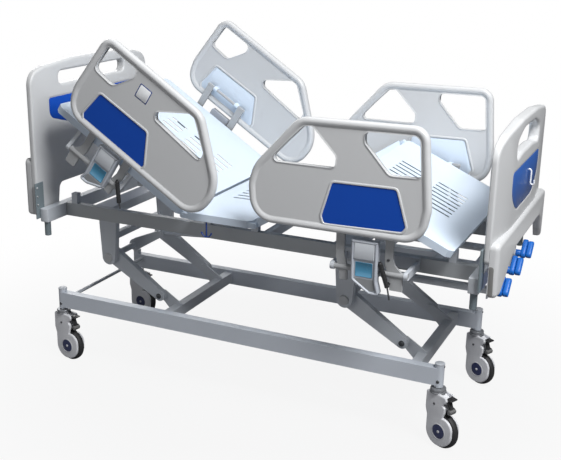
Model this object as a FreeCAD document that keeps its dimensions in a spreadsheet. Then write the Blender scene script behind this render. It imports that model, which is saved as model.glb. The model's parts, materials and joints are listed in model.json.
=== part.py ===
import FreeCAD, Part
import Sketcher
import math
import os
import re

# Manual hospital bed, three cranks. Millimetres. Foot end at +X, floor at z = 0, patient's right at -Y.
# Sizes along X count from the middle between the caster posts; each sub-part is placed middle_x further back,
# which puts the origin under the middle of the whole bed.

V = FreeCAD.Vector
doc = FreeCAD.newDocument("hospital_bed")
sheet = doc.addObject("Spreadsheet::Sheet", "dim")

SIZES = {
    "middle_x": 75,
    # base frame
    "post_x": 900, "post_y": 315, "post_radius": 19, "post_low": 252, "post_top": 351, "stem_bore": 11.05,
    "base_wide": 38, "base_low": 260, "base_high": 332, "wall": 3,
    "cross_head": -352, "cross_foot": 795, "cross_wide": 40, "cross_low": 272, "cross_high": 322,
    "tie_x": -860, "tie_z": 312, "tie_radius": 8,
    # lift
    "low_head": -432.5, "low_foot": 714.4, "low_z": 361, "arm_length": 289.4, "arm_angle": 32.16,
    "arm_in": 195.5, "arm_thick": 29, "arm_small": 25, "arm_big": 38, "gusset_in": 187, "pivot_pin": 10,
    "torsion_radius": 14, "lever_length": 165, "lever_angle": 27, "rod_y": -30, "rod_radius": 7,
    "rod_reach": 1130, "rod_slope": 4.69, "pin_radius": 6, "slack": 0.05,
    "bracket_in": 225.6, "bracket_thick": 30, "bracket_small": 34, "bracket_big": 44.5, "cap_radius": 22,
    # upper frame
    "frame_low": 704.5, "frame_high": 764.5, "frame_in": 277, "frame_out": 307, "frame_head": -860,
    "frame_foot": 1012, "frame_side": 440, "member": 40, "inner_low": 724.5,
    # deck
    "deck_half": 440, "sheet": 2, "edge": 30, "clip": 18, "hinge_z": 832, "rise": 18, "hinge_gap": 14,
    "back_x": -180, "back_length": 718, "back_tilt": 32.8,
    "thigh_x": 145, "thigh_length": 390, "thigh_tilt": 32.6, "calf_length": 512, "calf_tilt": 24.1,
    "ear_low": 412, "ear_high": 424, "lug_low": 426, "lug_high": 438, "ear_radius": 11,
    "slot_wide": 14, "slot_step": 42,
    # boards
    "board_half": 450, "head_in": "=frame_head-member-5", "head_out": "=head_in-47", "head_skirt": "=head_in-80",
    "head_top": 1395, "foot_in": "=frame_foot+member+8", "foot_out": "=foot_in+45", "foot_skirt": "=foot_in+75",
    "foot_top": 1290,
    # side rails
    "rail_face": 470, "rail_thick": 35, "rail_rim": 36, "panel_skin": 6.5, "inlay_deep": 3,
    "foot_end": 874, "foot_long": 725, "foot_tall": 432, "foot_rail_low": 876,
    "head_end": -843, "head_long": 751, "head_tall": 394, "head_rail_low": 883,
    "swing_y": 457, "swing_low": -141, "swing_high": 80, "swing_arm": 12, "low_tube": 12, "high_tube": 7,
    # casters
    "wheel_radius": 75, "trail": 35, "cover_radius": 63, "cover_out": 26, "cover_in": 16, "stem_radius": 11,
    "turn_head": -8, "turn_foot": -25,
    # cranks
    "crank_x": "=foot_out-15", "crank_right": -240, "crank_middle": -20, "crank_left": 200, "crank_z": 655,
    "screw_radius": 16, "grip_lean": 43, "crank_reach": 52,
}

for row, (alias, value) in enumerate(SIZES.items(), start=1):
    sheet.set("A%d" % row, alias)
    sheet.set("B%d" % row, str(value))
    sheet.setAlias("B%d" % row, alias)
doc.recompute()

subparts = []
count = 0


def size(alias):
    """Read one size from the sheet."""
    return float(sheet.get(alias))


def rule(text):
    """Put the sheet's name before each of its aliases."""
    return re.sub(r"[a-z][a-z_]*", lambda m: "dim." + m.group() if m.group() in SIZES else m.group(), str(text))


def worth(text):
    """Work out a rule now."""
    return float(sheet.evalExpression(rule(text)))


def named(kind, name=None):
    """Add one object with a name of its own."""
    global count
    count += 1
    return doc.addObject(kind, name or "piece%d" % count)


def bind(obj, **rules):
    """Bind properties of an object to the sheet."""
    for prop, text in rules.items():
        obj.setExpression(prop.replace("__", "."), rule(text))


def box(x_low, x_high, y_low, y_high, z_low, z_high):
    obj = named("Part::Box")
    bind(obj, Length="(%s)-(%s)" % (x_high, x_low), Width="(%s)-(%s)" % (y_high, y_low),
         Height="(%s)-(%s)" % (z_high, z_low), Placement__Base__x=x_low, Placement__Base__y=y_low,
         Placement__Base__z=z_low)
    return obj


AXES = {"x": FreeCAD.Rotation(V(0, 1, 0), 90), "y": FreeCAD.Rotation(V(1, 0, 0), -90), "z": FreeCAD.Rotation()}


def round_bar(axis, low, high, first, second, radius, tip=None):
    """Cylinder or cone along an axis, between two levels of it, at the other two coordinates."""
    obj = named("Part::Cone" if tip is not None else "Part::Cylinder")
    obj.Placement = FreeCAD.Placement(V(), AXES[axis])
    where = {"x": (low, first, second), "y": (first, low, second), "z": (first, second, low)}[axis]
    bind(obj, Height="(%s)-(%s)" % (high, low), Placement__Base__x=where[0], Placement__Base__y=where[1],
         Placement__Base__z=where[2])
    if tip is None:
        bind(obj, Radius=radius)
    else:
        bind(obj, Radius1=radius, Radius2=tip)
    return obj


def cut(base, tool):
    obj = named("Part::Cut")
    obj.Base = base
    obj.Tool = tool
    return obj


def fuse(*pieces):
    if len(pieces) == 1:
        return pieces[0]
    obj = named("Part::MultiFuse")
    obj.Shapes = list(pieces)
    return obj


def group(*pieces):
    obj = named("Part::Compound")
    obj.Links = list(pieces)
    return obj


def mirror(source, across="y"):
    obj = named("Part::Mirroring")
    obj.Source = source
    obj.Base = V()
    obj.Normal = V(1, 0, 0) if across == "x" else V(0, 1, 0)
    return obj


def both(piece):
    """The piece and its mirror image on the other side of the bed."""
    return group(piece, mirror(piece))


def finish(obj, label, about=None):
    """Give a sub-part its label; about = (x, z, angle) turns it in the side view about a hinge."""
    obj.Label = label
    if about:
        x, z, angle = about
        obj.Placement = FreeCAD.Placement(V(), FreeCAD.Rotation(V(0, 1, 0), 1))
        bind(obj, Placement__Rotation__Angle=angle,
             Placement__Base__x="(%s)-((%s)*cos(%s)+(%s)*sin(%s))-middle_x" % (x, x, angle, z, angle),
             Placement__Base__z="(%s)-((%s)*cos(%s)-(%s)*sin(%s))" % (z, z, angle, x, angle))
    else:
        bind(obj, Placement__Base__x="0-middle_x")
    subparts.append(obj)
    return obj


def seat_at(obj, label, x, y, z, axis, angle):
    """Give a sub-part made about its own origin a label, a place and a turn."""
    obj.Label = label
    obj.Placement = FreeCAD.Placement(V(), FreeCAD.Rotation(axis, 1))
    bind(obj, Placement__Base__x="(%s)-middle_x" % x, Placement__Base__y=y, Placement__Base__z=z,
         Placement__Rotation__Angle=angle)
    subparts.append(obj)
    return obj


# sketched pieces

def body_plane(body, role):
    return [f for f in body.Origin.OriginFeatures if f.Role == role][0]


def sketch_on(body, plane, level):
    """Sketch on one of the body's own planes, moved along its normal."""
    sketch = body.newObject("Sketcher::SketchObject", "line")
    sketch.AttachmentSupport = [(body_plane(body, plane + "_Plane"), "")]
    sketch.MapMode = "FlatFace"
    bind(sketch, AttachmentOffset__Base__z=level)
    return sketch


def hold(sketch, kind, place, text):
    index = sketch.addConstraint(Sketcher.Constraint(kind, *place, worth(text)))
    sketch.setExpression("Constraints[%d]" % index, rule(text))


def lines(sketch, points):
    """Closed outline of straight lines with each corner held by two rules."""
    spots = [V(worth(a), worth(b), 0) for a, b in points]
    for i, spot in enumerate(spots):
        sketch.addGeometry(Part.LineSegment(spot, spots[(i + 1) % len(spots)]))
    for i in range(len(spots)):
        sketch.addConstraint(Sketcher.Constraint("Coincident", i, 2, (i + 1) % len(spots), 1))
    for i, (a, b) in enumerate(points):
        hold(sketch, "DistanceX", (-1, 1, i, 1), a)
        hold(sketch, "DistanceY", (-1, 1, i, 1), b)


def strap(sketch, x_one, y_one, r_one, x_two, y_two, r_two):
    """Two arcs joined by tangent lines: slots, links and levers."""
    one = V(worth(x_one), worth(y_one), 0)
    two = V(worth(x_two), worth(y_two), 0)
    a, b = worth(r_one), worth(r_two)
    along = math.atan2(two.y - one.y, two.x - one.x)
    off = math.acos((a - b) / (two - one).Length)
    first = sketch.GeometryCount
    up, down = along + off, along - off
    sketch.addGeometry(Part.ArcOfCircle(Part.Circle(one, V(0, 0, 1), a), up, down + 2 * math.pi))
    sketch.addGeometry(Part.ArcOfCircle(Part.Circle(two, V(0, 0, 1), b), down, up))
    rim = lambda c, r, t: V(c.x + r * math.cos(t), c.y + r * math.sin(t), 0)
    sketch.addGeometry(Part.LineSegment(rim(one, a, down), rim(two, b, down)))
    sketch.addGeometry(Part.LineSegment(rim(two, b, up), rim(one, a, up)))
    for pair in ((first, 2, first + 2, 1), (first + 2, 2, first + 1, 1), (first + 1, 2, first + 3, 1),
                 (first + 3, 2, first, 1)):
        sketch.addConstraint(Sketcher.Constraint("Tangent", *pair))
    for index, x, y, r in ((first, x_one, y_one, r_one), (first + 1, x_two, y_two, r_two)):
        hold(sketch, "DistanceX", (-1, 1, index, 3), x)
        hold(sketch, "DistanceY", (-1, 1, index, 3), y)
        hold(sketch, "Radius", (index,), r)


def padded(plane, low, high, draw, *data):
    """Body with one padded sketch between two levels of the axis square to its plane."""
    body = named("PartDesign::Body")
    level = "-(%s)" % high if plane == "XZ" else low
    sketch = sketch_on(body, plane, level)
    draw(sketch, *data)
    pad = body.newObject("PartDesign::Pad", "pad")
    pad.Profile = sketch
    bind(pad, Length="(%s)-(%s)" % (high, low))
    return body


def link(low, high, x_one, z_one, r_one, x_two, z_two, r_two):
    return padded("XZ", low, high, strap, x_one, z_one, r_one, x_two, z_two, r_two)


def deck_tray(x_low, x_high, half, groups):
    """Sheet panel in its hinge's frame: turned-down edges, clipped corners and rows of slots."""
    body = named("PartDesign::Body")

    def tray_line(inset):
        a, b = "(%s)+(%s)" % (x_low, inset), "(%s)-(%s)" % (x_high, inset)
        w = "%s-(%s)" % (half, inset)
        c = "clip-(%s)*0.4" % inset
        return [("%s+%s" % (a, c), "-(%s)" % w), ("%s-(%s)" % (b, c), "-(%s)" % w), (b, "-(%s)+%s" % (w, c)),
                (b, "%s-(%s)" % (w, c)), ("%s-(%s)" % (b, c), w), ("%s+%s" % (a, c), w), (a, "%s-(%s)" % (w, c)),
                (a, "-(%s)+%s" % (w, c))]

    outer = sketch_on(body, "XY", "rise-edge")
    lines(outer, tray_line("0"))
    pad = body.newObject("PartDesign::Pad", "plate")
    pad.Profile = outer
    bind(pad, Length="edge")
    doc.recompute()
    full = pad.Shape.Volume
    inner = sketch_on(body, "XY", "rise-edge")
    lines(inner, tray_line("sheet"))
    hollow = body.newObject("PartDesign::Pocket", "hollow")
    hollow.Profile = inner
    hollow.Reversed = True
    bind(hollow, Length="edge-sheet")
    doc.recompute()
    assert hollow.Shape.Volume < 0.3 * full
    for x_one, x_two, start, number in groups:
        line = sketch_on(body, "XY", "rise")
        strap(line, x_one, start, "slot_wide/2", x_two, start, "slot_wide/2")
        slot = body.newObject("PartDesign::Pocket", "slot")
        slot.Profile = line
        bind(slot, Length="sheet*2")
        row = body.newObject("PartDesign::LinearPattern", "slots")
        row.Originals = [slot]
        row.Direction = (body_plane(body, "Y_Axis"), [""])
        row.Occurrences = number
        bind(row, Length="slot_step*%d" % (number - 1))
        body.Tip = row
        doc.recompute()
        assert row.Shape.Volume < hollow.Shape.Volume
    return body


# moulded pieces

def rounded(points, plane, level):
    """Closed wire of lines with arcs at the corners; points are (a, b, radius)."""
    to = {"XZ": lambda a, b: V(a, level, b), "YZ": lambda a, b: V(level, a, b)}[plane]
    ends = []
    for i, (a, b, r) in enumerate(points):
        p = V(a, b, 0)
        back = (V(*points[i - 1][:2], 0) - p).normalize()
        ahead = (V(*points[(i + 1) % len(points)][:2], 0) - p).normalize()
        half = back.getAngle(ahead) / 2
        reach = r / math.tan(half)
        middle = p + (back + ahead).normalize() * (r / math.sin(half) - r)
        ends.append((p + back * reach, middle, p + ahead * reach))
    edges = []
    for i, (start, middle, stop) in enumerate(ends):
        edges.append(Part.Arc(to(start.x, start.y), to(middle.x, middle.y), to(stop.x, stop.y)).toShape())
        after = ends[(i + 1) % len(ends)][0]
        if (after - stop).Length > 0.01:
            edges.append(Part.LineSegment(to(stop.x, stop.y), to(after.x, after.y)).toShape())
    return Part.Wire(edges)


def slab(points, plane, low, high):
    """Solid between two levels with a rounded outline."""
    face = Part.Face(rounded(points, plane, low))
    return face.extrude(V(0, high - low, 0) if plane == "XZ" else V(high - low, 0, 0))


def made(shape, label=None):
    obj = named("Part::Feature")
    obj.Shape = shape
    if label:
        obj.Label = label
        obj.Placement = FreeCAD.Placement(V(-size("middle_x"), 0, 0), FreeCAD.Rotation())
        subparts.append(obj)
    return obj


# base frame
side = fuse(
    cut(box("-post_x", "post_x", "-post_y-base_wide/2", "-post_y+base_wide/2", "base_low", "base_high"),
        box("-post_x-1", "post_x+1", "-post_y-base_wide/2+wall", "-post_y+base_wide/2-wall", "base_low+wall",
            "base_high-wall")),
    round_bar("z", "post_low", "post_top", "post_x", "-post_y", "post_radius"),
    round_bar("z", "post_low", "post_top", "-post_x", "-post_y", "post_radius"))
bores = fuse(
    round_bar("z", "post_low-1", "base_low+70", "post_x", "-post_y", "stem_bore"),
    round_bar("z", "post_low-1", "base_low+70", "-post_x", "-post_y", "stem_bore"))
finish(both(cut(side, bores)), "base_side_frames")


def cross_member(x, pivot):
    """Box member across the base with the pivot plates and pins of one pair of arms."""
    rail_in = "(post_y-base_wide/2)"
    x_low, x_high = "%s-cross_wide/2" % x, "%s+cross_wide/2" % x
    plate = padded("XZ", "-gusset_in-8", "-gusset_in", lines,
                   [("%s-24" % pivot, "low_z"), ("%s-15" % pivot, "low_z+19"), ("%s+12" % pivot, "low_z+20"),
                    (x_high, "cross_high+4"), (x_high, "cross_low"), (x_low, "cross_low")])
    pin = round_bar("y", "-arm_in-arm_thick-0.5", "-gusset_in", pivot, "low_z", "pivot_pin")
    head = round_bar("y", "-arm_in-arm_thick-5.5", "-arm_in-arm_thick-0.5", pivot, "low_z", "16")
    sides = [plate, pin, head]
    tube = cut(box(x_low, x_high, "-" + rail_in, rail_in, "cross_low", "cross_high"),
               box(x_low + "+wall", x_high + "-wall", "-" + rail_in, rail_in, "cross_low+wall", "cross_high-wall"))
    return fuse(tube, *sides, *[mirror(s) for s in sides])


finish(group(cross_member("cross_head", "low_head"), cross_member("cross_foot", "low_foot")), "base_crossmembers")
tie_end = "(post_y-base_wide/2)"
finish(fuse(round_bar("y", "-" + tie_end, tie_end, "tie_x", "tie_z", "tie_radius"),
            round_bar("y", "-" + tie_end, "-%s+3" % tie_end, "tie_x", "tie_z", "16"),
            round_bar("y", "%s-3" % tie_end, tie_end, "tie_x", "tie_z", "16")), "base_tie_tube")

# casters, made about the post's axis and then turned to their headings
for tag, sx, sy, heading in (("head_right", "-", "-", "turn_head"), ("head_left", "-", "", "turn_head"),
                             ("foot_right", "", "-", "turn_foot"), ("foot_left", "", "", "turn_foot")):
    x, y = sx + "post_x", sy + "post_y"
    cover = fuse(round_bar("y", "cover_in", "cover_out", "trail", "wheel_radius", "cover_radius"),
                 padded("XZ", "cover_in", "cover_out", lines,
                        [("-33", "126"), ("-33", "232"), ("20", "232"), ("52", "214"), ("52", "186"), ("62", "174"),
                         ("58", "132"), ("trail", "wheel_radius"), ("-22", "100")]))
    crown = padded("XZ", "-cover_in-1", "cover_in+1", lines,
                   [("-33", "176"), ("-33", "232"), ("20", "232"), ("40", "221"), ("40", "176")])
    pedal_pin = round_bar("y", "-cover_in-1", "cover_in+1", "46", "200", "4")
    fork = fuse(cover, mirror(cover), crown, pedal_pin,
                round_bar("z", "231", "249", "0", "0", "33", "30"),
                round_bar("z", "231", "base_low+66", "0", "0", "stem_radius"),
                round_bar("y", "-cover_in-1", "cover_in+1", "trail", "wheel_radius", "pin_radius"))
    seat_at(fork, "caster_fork_" + tag, x, y, "0", V(0, 0, 1), heading)
    tyre = fuse(round_bar("y", "-9", "9", "trail", "wheel_radius", "wheel_radius"),
                round_bar("y", "9", "15", "trail", "wheel_radius", "wheel_radius", "wheel_radius-7"),
                round_bar("y", "-15", "-9", "trail", "wheel_radius", "wheel_radius-7", "wheel_radius"))
    wheel = cut(tyre, round_bar("y", "-16", "16", "trail", "wheel_radius", "pin_radius+slack"))
    seat_at(wheel, "caster_wheel_" + tag, x, y, "0", V(0, 0, 1), heading)
    arm = fuse(link("-10", "10", "46", "200", "5.9", "66", "214", "4"),
               link("-12", "12", "52", "206", "4", "74", "222", "3"),
               link("-9", "9", "60", "208", "5", "74", "172", "5"),
               link("-14", "14", "72", "176", "7", "76", "166", "7"))
    pedal = cut(arm, round_bar("y", "-15", "15", "46", "200", "4+slack"))
    seat_at(pedal, "caster_pedal_" + tag, x, y, "0", V(0, 0, 1), heading)

# lift arms with torsion tubes
ARM_X, ARM_Z = "arm_length*cos(arm_angle)", "arm_length*sin(arm_angle)"


def lift_pair(pivot, lever):
    up_x, up_z = "(%s-%s)" % (pivot, ARM_X), "(low_z+%s)" % ARM_Z
    out = "-arm_in-arm_thick"
    arm = link(out, "-arm_in", pivot, "low_z", "arm_small", up_x, up_z, "arm_big")
    sides = [arm, mirror(arm)]
    tube = round_bar("y", "-bracket_in-bracket_thick+0.6", "bracket_in+bracket_thick-0.6", up_x, up_z,
                     "torsion_radius")
    collar = fuse(round_bar("y", "-arm_in-1", "-arm_in+20", up_x, up_z, "20"),
                  round_bar("y", "arm_in-20", "arm_in+1", up_x, up_z, "20"))
    pieces = sides + [tube, collar]
    if lever:
        tip_x = "%s+lever_length*cos(lever_angle)" % up_x
        tip_z = "%s+lever_length*sin(lever_angle)" % up_z
        for low, high in (("rod_y-15", "rod_y-8.5"), ("rod_y+8.5", "rod_y+15")):
            pieces.append(link(low, high, up_x, up_z, "28", tip_x, tip_z, "15"))
        pieces.append(round_bar("y", "rod_y-17", "rod_y+17", tip_x, tip_z, "pin_radius"))
    bore = round_bar("y", "-arm_in-arm_thick-1", "arm_in+arm_thick+1", pivot, "low_z", "pivot_pin+slack")
    return cut(fuse(*pieces), bore)


finish(lift_pair("low_head", True), "lift_arms_head")
finish(lift_pair("low_foot", False), "lift_arms_foot")

# drive rod, made along X from the lever's pin and then sloped
rod = fuse(round_bar("y", "-8", "8", "0", "0", "15"),
           round_bar("x", "8", "rod_reach-150", "0", "0", "rod_radius"),
           round_bar("x", "rod_reach-151", "rod_reach", "0", "0", "rod_radius-2"))
seat_at(cut(rod, round_bar("y", "-9", "9", "0", "0", "pin_radius+slack")), "hi_lo_rod",
        "low_head-%s+lever_length*cos(lever_angle)" % ARM_X, "rod_y",
        "low_z+%s+lever_length*sin(lever_angle)" % ARM_Z, V(0, 1, 0), "-rod_slope")

# upper frame
rail = cut(box("frame_head", "frame_foot", "-frame_out", "-frame_in", "frame_low", "frame_high"),
           box("frame_head-1", "frame_foot+1", "-frame_out+wall", "-frame_in-wall", "frame_low+wall",
               "frame_high-wall"))
finish(both(rail), "upper_side_rails")


def member(x_low, x_high, half, low):
    return cut(box(x_low, x_high, "-" + half, half, low, "frame_high"),
               box(x_low + "+wall", x_high + "-wall", "-%s-1" % half, half + "+1", low + "+wall", "frame_high-wall"))


UP_HEAD, UP_FOOT = "(low_head-%s)" % ARM_X, "(low_foot-%s)" % ARM_X
finish(group(member("frame_head-member", "frame_head", "frame_side", "frame_low"),
             member("frame_foot", "frame_foot+member", "frame_side", "frame_low"),
             member(UP_HEAD + "-44", UP_HEAD + "+44", "frame_in", "inner_low"),
             member(UP_FOOT + "-44", UP_FOOT + "+44", "frame_in", "inner_low"),
             member("-210", "-180", "frame_in", "inner_low"), member("115", "145", "frame_in", "inner_low")),
       "upper_crossmembers")


def hanger(up_x):
    up_z = "(low_z+%s)" % ARM_Z
    plate = fuse(link("-bracket_in-bracket_thick", "-bracket_in", up_x, up_z, "bracket_small", up_x, "675",
                      "bracket_big"),
                 box(up_x + "-bracket_big", up_x + "+bracket_big", "-bracket_in-bracket_thick", "-bracket_in",
                     "675", "inner_low"))
    bored = cut(plate, round_bar("y", "-bracket_in-bracket_thick-1", "-bracket_in+1", up_x, up_z,
                                 "torsion_radius+slack"))
    return fuse(bored, mirror(bored), box(up_x + "-44", up_x + "-18", "-bracket_in-1", "bracket_in+1", "573", "603"))


finish(group(hanger(UP_HEAD), hanger(UP_FOOT)), "hanging_brackets")
caps = []
for up_x in (UP_HEAD, UP_FOOT):
    caps.append(round_bar("y", "-bracket_in-bracket_thick-8", "-bracket_in-bracket_thick", up_x,
                          "low_z+" + ARM_Z, "cap_radius-3", "cap_radius"))
finish(both(group(*caps)), "pivot_caps")

# deck panels in their hinges' frames
BORE = "pin_radius+slack"


def ears(direction):
    """Two ears round the hinge axis with their bores, reaching along the panel."""
    ear = link("-ear_high", "-ear_low", "0", "0", "ear_radius", direction + "48", "0", "ear_radius")
    bored = cut(ear, round_bar("y", "-ear_high-1", "-ear_low+1", "0", "0", BORE))
    return [bored, mirror(bored)]


def lugs(x, z, direction):
    """Two lugs with the hinge pins."""
    lug = link("-lug_high", "-lug_low", x, z, "ear_radius", "%s%s34" % (x, direction), z, "ear_radius")
    pin = round_bar("y", "-lug_high-2", "-ear_low+2", x, z, "pin_radius")
    return [lug, pin, mirror(lug), mirror(pin)]


def panel(label, tray, pieces, about):
    return seat_at(fuse(tray, *pieces), label, about[0], "0", about[1], V(0, 1, 0), about[2])


tray = deck_tray("-back_length", "-hinge_gap", "deck_half",
                 [("-190", "-110", "-slot_step*3.5", 8), ("-330", "-250", "-slot_step*3.5", 8),
                  ("-470", "-390", "-slot_step*3.5", 8), ("-610", "-530", "-slot_step*3.5", 8)])
panel("backrest_panel", tray, ears("-"), ("back_x", "hinge_z", "back_tilt"))

seat_low, seat_high = "(back_x+12)", "(thigh_x-12)"
tray = deck_tray(seat_low, seat_high, "deck_half", [("-90", "55", "-slot_step*3.5", 8)])
panel("seat_panel", tray, lugs("back_x", "0", "+") + lugs("thigh_x", "0", "-"), ("0", "hinge_z", "0"))

tray = deck_tray("hinge_gap", "thigh_length-hinge_gap", "deck_half", [("120", "280", "-slot_step*3.5", 8)])
panel("thigh_panel", tray, ears("") + lugs("thigh_length", "0", "-"), ("thigh_x", "hinge_z", "-thigh_tilt"))

tray = deck_tray("hinge_gap", "calf_length", "deck_half", [("90", "200", "-slot_step*3.5", 8),
                                                          ("270", "400", "-slot_step*3.5", 8)])
panel("calf_panel", tray, ears(""), ("thigh_x+thigh_length*cos(thigh_tilt)",
                                     "hinge_z+thigh_length*sin(thigh_tilt)", "calf_tilt"))

# seat supports and rests on the side rails
post = lambda a, b, top: box(a, b, "-frame_out", "-frame_in", "frame_high", top)
finish(both(group(post("-150", "-120", "hinge_z+rise-sheet"), post("70", "100", "hinge_z+rise-sheet"),
                  post("frame_foot-110", "frame_foot-80", "hinge_z+rise-edge-8"),
                  post("frame_head+30", "frame_head+60", "hinge_z+rise-edge-8"))), "deck_brackets")


# boards, made with rounded outlines

def board(label, inside, outside, skirt, top, corner, slot_top, slot_half, inlay, inlay_side, legs, step):
    """Board moulding: upper panel, thicker skirt, legs, hand slot and a recess for its inlay."""
    half = size("board_half")
    low, high = min(inside, outside), max(inside, outside)
    upper = [(-half, legs, 10), (-half, top - corner, 70), (-half * 0.78, top - corner * 0.55, 120),
             (-half * 0.3, top, 200), (half * 0.3, top, 200), (half * 0.78, top - corner * 0.55, 120),
             (half, top - corner, 70), (half, legs, 10), (half * 0.66, legs, 25), (half * 0.62, 845, 40),
             (-half * 0.62, 845, 40), (-half * 0.66, legs, 25)]
    body = slab(upper, "YZ", low, high)
    thick_low, thick_high = min(outside, skirt), max(outside, skirt)
    lower = [(-half, legs, 10), (-half, step, 25), (half, step, 25), (half, legs, 10), (half * 0.66, legs, 25),
             (half * 0.62, 815 + 20, 30), (-half * 0.62, 815 + 20, 30), (-half * 0.66, legs, 25)]
    body = body.fuse(slab(lower, "YZ", thick_low, thick_high))
    slot = [(-slot_half, slot_top - 55, 25), (-slot_half, slot_top, 25), (slot_half, slot_top, 25),
            (slot_half, slot_top - 55, 25)]
    body = body.cut(slab(slot, "YZ", low - 1, high + 1))
    face = inside if inlay_side == "in" else outside
    sign = 1 if (inlay_side == "in") == (inside > outside) else -1
    floor = face - sign * size("inlay_deep")
    body = body.cut(slab(inlay, "YZ", min(floor, face), max(floor, face)))
    made(body.removeSplitter(), label)
    plate = [(a * 0.998, 1.0 * b, r) for a, b, r in inlay]
    outer = face - sign * 0.5
    return slab(plate, "YZ", min(floor, outer), max(floor, outer))


shield = [(-330, 1235, 12), (-330, 1150, 40), (-150, 1100, 60), (150, 1100, 60), (330, 1150, 40), (330, 1235, 12)]
hexagon = [(-250, 1050, 25), (-150, 962, 25), (150, 962, 25), (250, 1050, 25), (190, 1118, 20), (-190, 1118, 20)]
inlay_head = board("headboard", size("head_in"), size("head_out"), size("head_skirt"), size("head_top"), 45,
                   size("head_top") - 52, 255, shield, "in", 730, 985)
inlay_foot = board("footboard", size("foot_in"), size("foot_out"), size("foot_skirt"), size("foot_top"), 50,
                   size("foot_top") - 37, 200, hexagon, "out", 700, 900)
made(Part.makeCompound([inlay_head, inlay_foot]), "board_inlays")

# board mounting plates with their socket tubes
mount = group(box("head_in", "frame_head-member", "-465", "-410", "720", "880"),
              box("frame_foot+member", "foot_in", "-465", "-410", "720", "880"),
              round_bar("z", "640", "frame_low", "frame_foot+member/2", "-420", "14"),
              round_bar("z", "640", "frame_low", "frame_head-member/2", "-420", "14"))
finish(both(mount), "board_mount_plates")


# side rails

OUTLINE = [(0.015, 0.0, 60), (0.968, 0.0, 95), (1.0, 0.30, 130), (0.965, 1.0, 60), (0.285, 0.985, 75),
           (0.03, 0.52, 130), (0.0, 0.35, 120)]


def rail_shell(label, end, long, tall, low, sign, windows, inlay):
    """Moulded side rail: thick rim, thinner panel, two windows, inlay recess and lugs for the swing tube."""
    place = lambda pts: [(end - sign * (long - u), low + w, r) for u, w, r in pts]
    rim = size("rail_rim")
    outline = [(u * long, w * tall, r) for u, w, r in OUTLINE]
    inset = [(rim + u * (1 - 2 * rim / long), rim + w * (1 - 2 * rim / tall), r * 0.72) for u, w, r in outline]
    near, far = -size("rail_face"), -size("rail_face") - size("rail_thick")
    skin = size("panel_skin")
    body = slab(place(outline), "XZ", far, near)
    edges = [e for e in body.Edges if abs(e.BoundBox.YLength) < 0.01]
    body = body.makeFillet(11, edges)
    body = body.cut(slab(place(inset), "XZ", far - 1, far + skin))
    body = body.cut(slab(place(inset), "XZ", near - skin, near + 1))
    for window in windows:
        body = body.cut(slab(place(window), "XZ", far, near))
    body = body.cut(slab(place(inlay), "XZ", far + skin - 1, far + skin + size("inlay_deep")))
    y, z = -size("swing_y"), low + size("swing_high")
    for e_low, e_high in ((312, 333), (178, 198)):
        x_low, x_high = sorted((end - sign * e_low, end - sign * e_high))
        lug = Part.makeCylinder(10.5, x_high - x_low, V(x_low, y, z), V(1, 0, 0))
        lug = lug.fuse(Part.makeBox(x_high - x_low, -near - size("swing_y") + skin + 1, 21,
                                    V(x_low, near - skin - 1, z - 10.5)))
        body = body.fuse(lug)
    body = body.cut(Part.makeCylinder(size("high_tube") + size("slack"), 900, V(end - sign * 450 - 450, y, z),
                                      V(1, 0, 0)))
    plate = slab(place(inlay), "XZ", far + skin + 0.5, far + skin + size("inlay_deep"))
    return made(body.removeSplitter()), made(plate)


FOOT_WINDOWS = [[(228, 399, 22), (366, 408, 20), (346, 274, 30), (321, 240, 30), (103, 240, 18), (106, 275, 22)],
                [(455, 396, 22), (640, 402, 25), (682, 240, 25), (569, 237, 40), (466, 335, 40)]]
FOOT_INLAY = [(347, 191, 14), (592, 194, 14), (633, 60, 12), (620, 41, 12), (318, 33, 12), (309, 60, 14)]
HEAD_WINDOWS = [[(540, 366, 22), (715, 360, 22), (727, 232, 25), (600, 225, 35), (528, 330, 40)],
                [(306, 372, 25), (395, 269, 25), (374, 232, 22), (125, 216, 20), (135, 270, 22)]]
HEAD_INLAY = [(377, 170, 14), (629, 168, 14), (655, 52, 12), (643, 28, 12), (325, 26, 12), (318, 45, 14)]


def swing_parts(end, sign, low):
    """Arms with their tubes, and the latch cover, for one rail on the patient's right."""
    across = lambda a, b: ("%s-%s" % (end, b), "%s-%s" % (end, a)) if sign > 0 else ("%s+%s" % (end, a),
                                                                                       "%s+%s" % (end, b))
    here = lambda e: "%s-%s" % (end, e) if sign > 0 else "%s+%s" % (end, e)
    y_low, y_high = "-swing_y-swing_arm/2", "-swing_y+swing_arm/2"
    pivot_z, top_z = "(%s+swing_low)" % low, "(%s+swing_high)" % low
    outer = [(142, "%s+8" % top_z), (142, "%s+62" % pivot_z), (134, "%s+36" % pivot_z), (104, "%s+6" % pivot_z),
             (102, "%s-62" % pivot_z), (150, "%s-62" % pivot_z), (154, "%s-15" % pivot_z),
             (172, "%s+35" % pivot_z), (176, "%s+8" % top_z)]
    inner = [(335, "%s+8" % top_z), (335, "%s+52" % pivot_z), (322, "%s+5" % pivot_z), (320, "%s-50" % pivot_z),
             (350, "%s-50" % pivot_z), (352, "%s-25" % pivot_z), (368, "%s+40" % pivot_z), (370, "%s+8" % top_z)]
    plates = [padded("XZ", y_low, y_high, lines, [(here(e), z) for e, z in pts]) for pts in (outer, inner)]
    low_span, high_span = across(82, 388), across(140, 372)
    arms = fuse(*plates, round_bar("x", *low_span, "-swing_y", pivot_z, "low_tube"),
                round_bar("x", *high_span, "-swing_y", top_z, "high_tube"))
    a, b = across(202, 308)
    cover = fuse(box(a, b, "-swing_y-38", "-swing_y-8", pivot_z + "-66", pivot_z + "+126"),
                 round_bar("x", a, b, "-swing_y", pivot_z, "low_tube+5"))
    latch = cut(cover, round_bar("x", a + "-1", b + "+1", "-swing_y", pivot_z, "low_tube+slack"))
    return arms, latch, across


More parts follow.
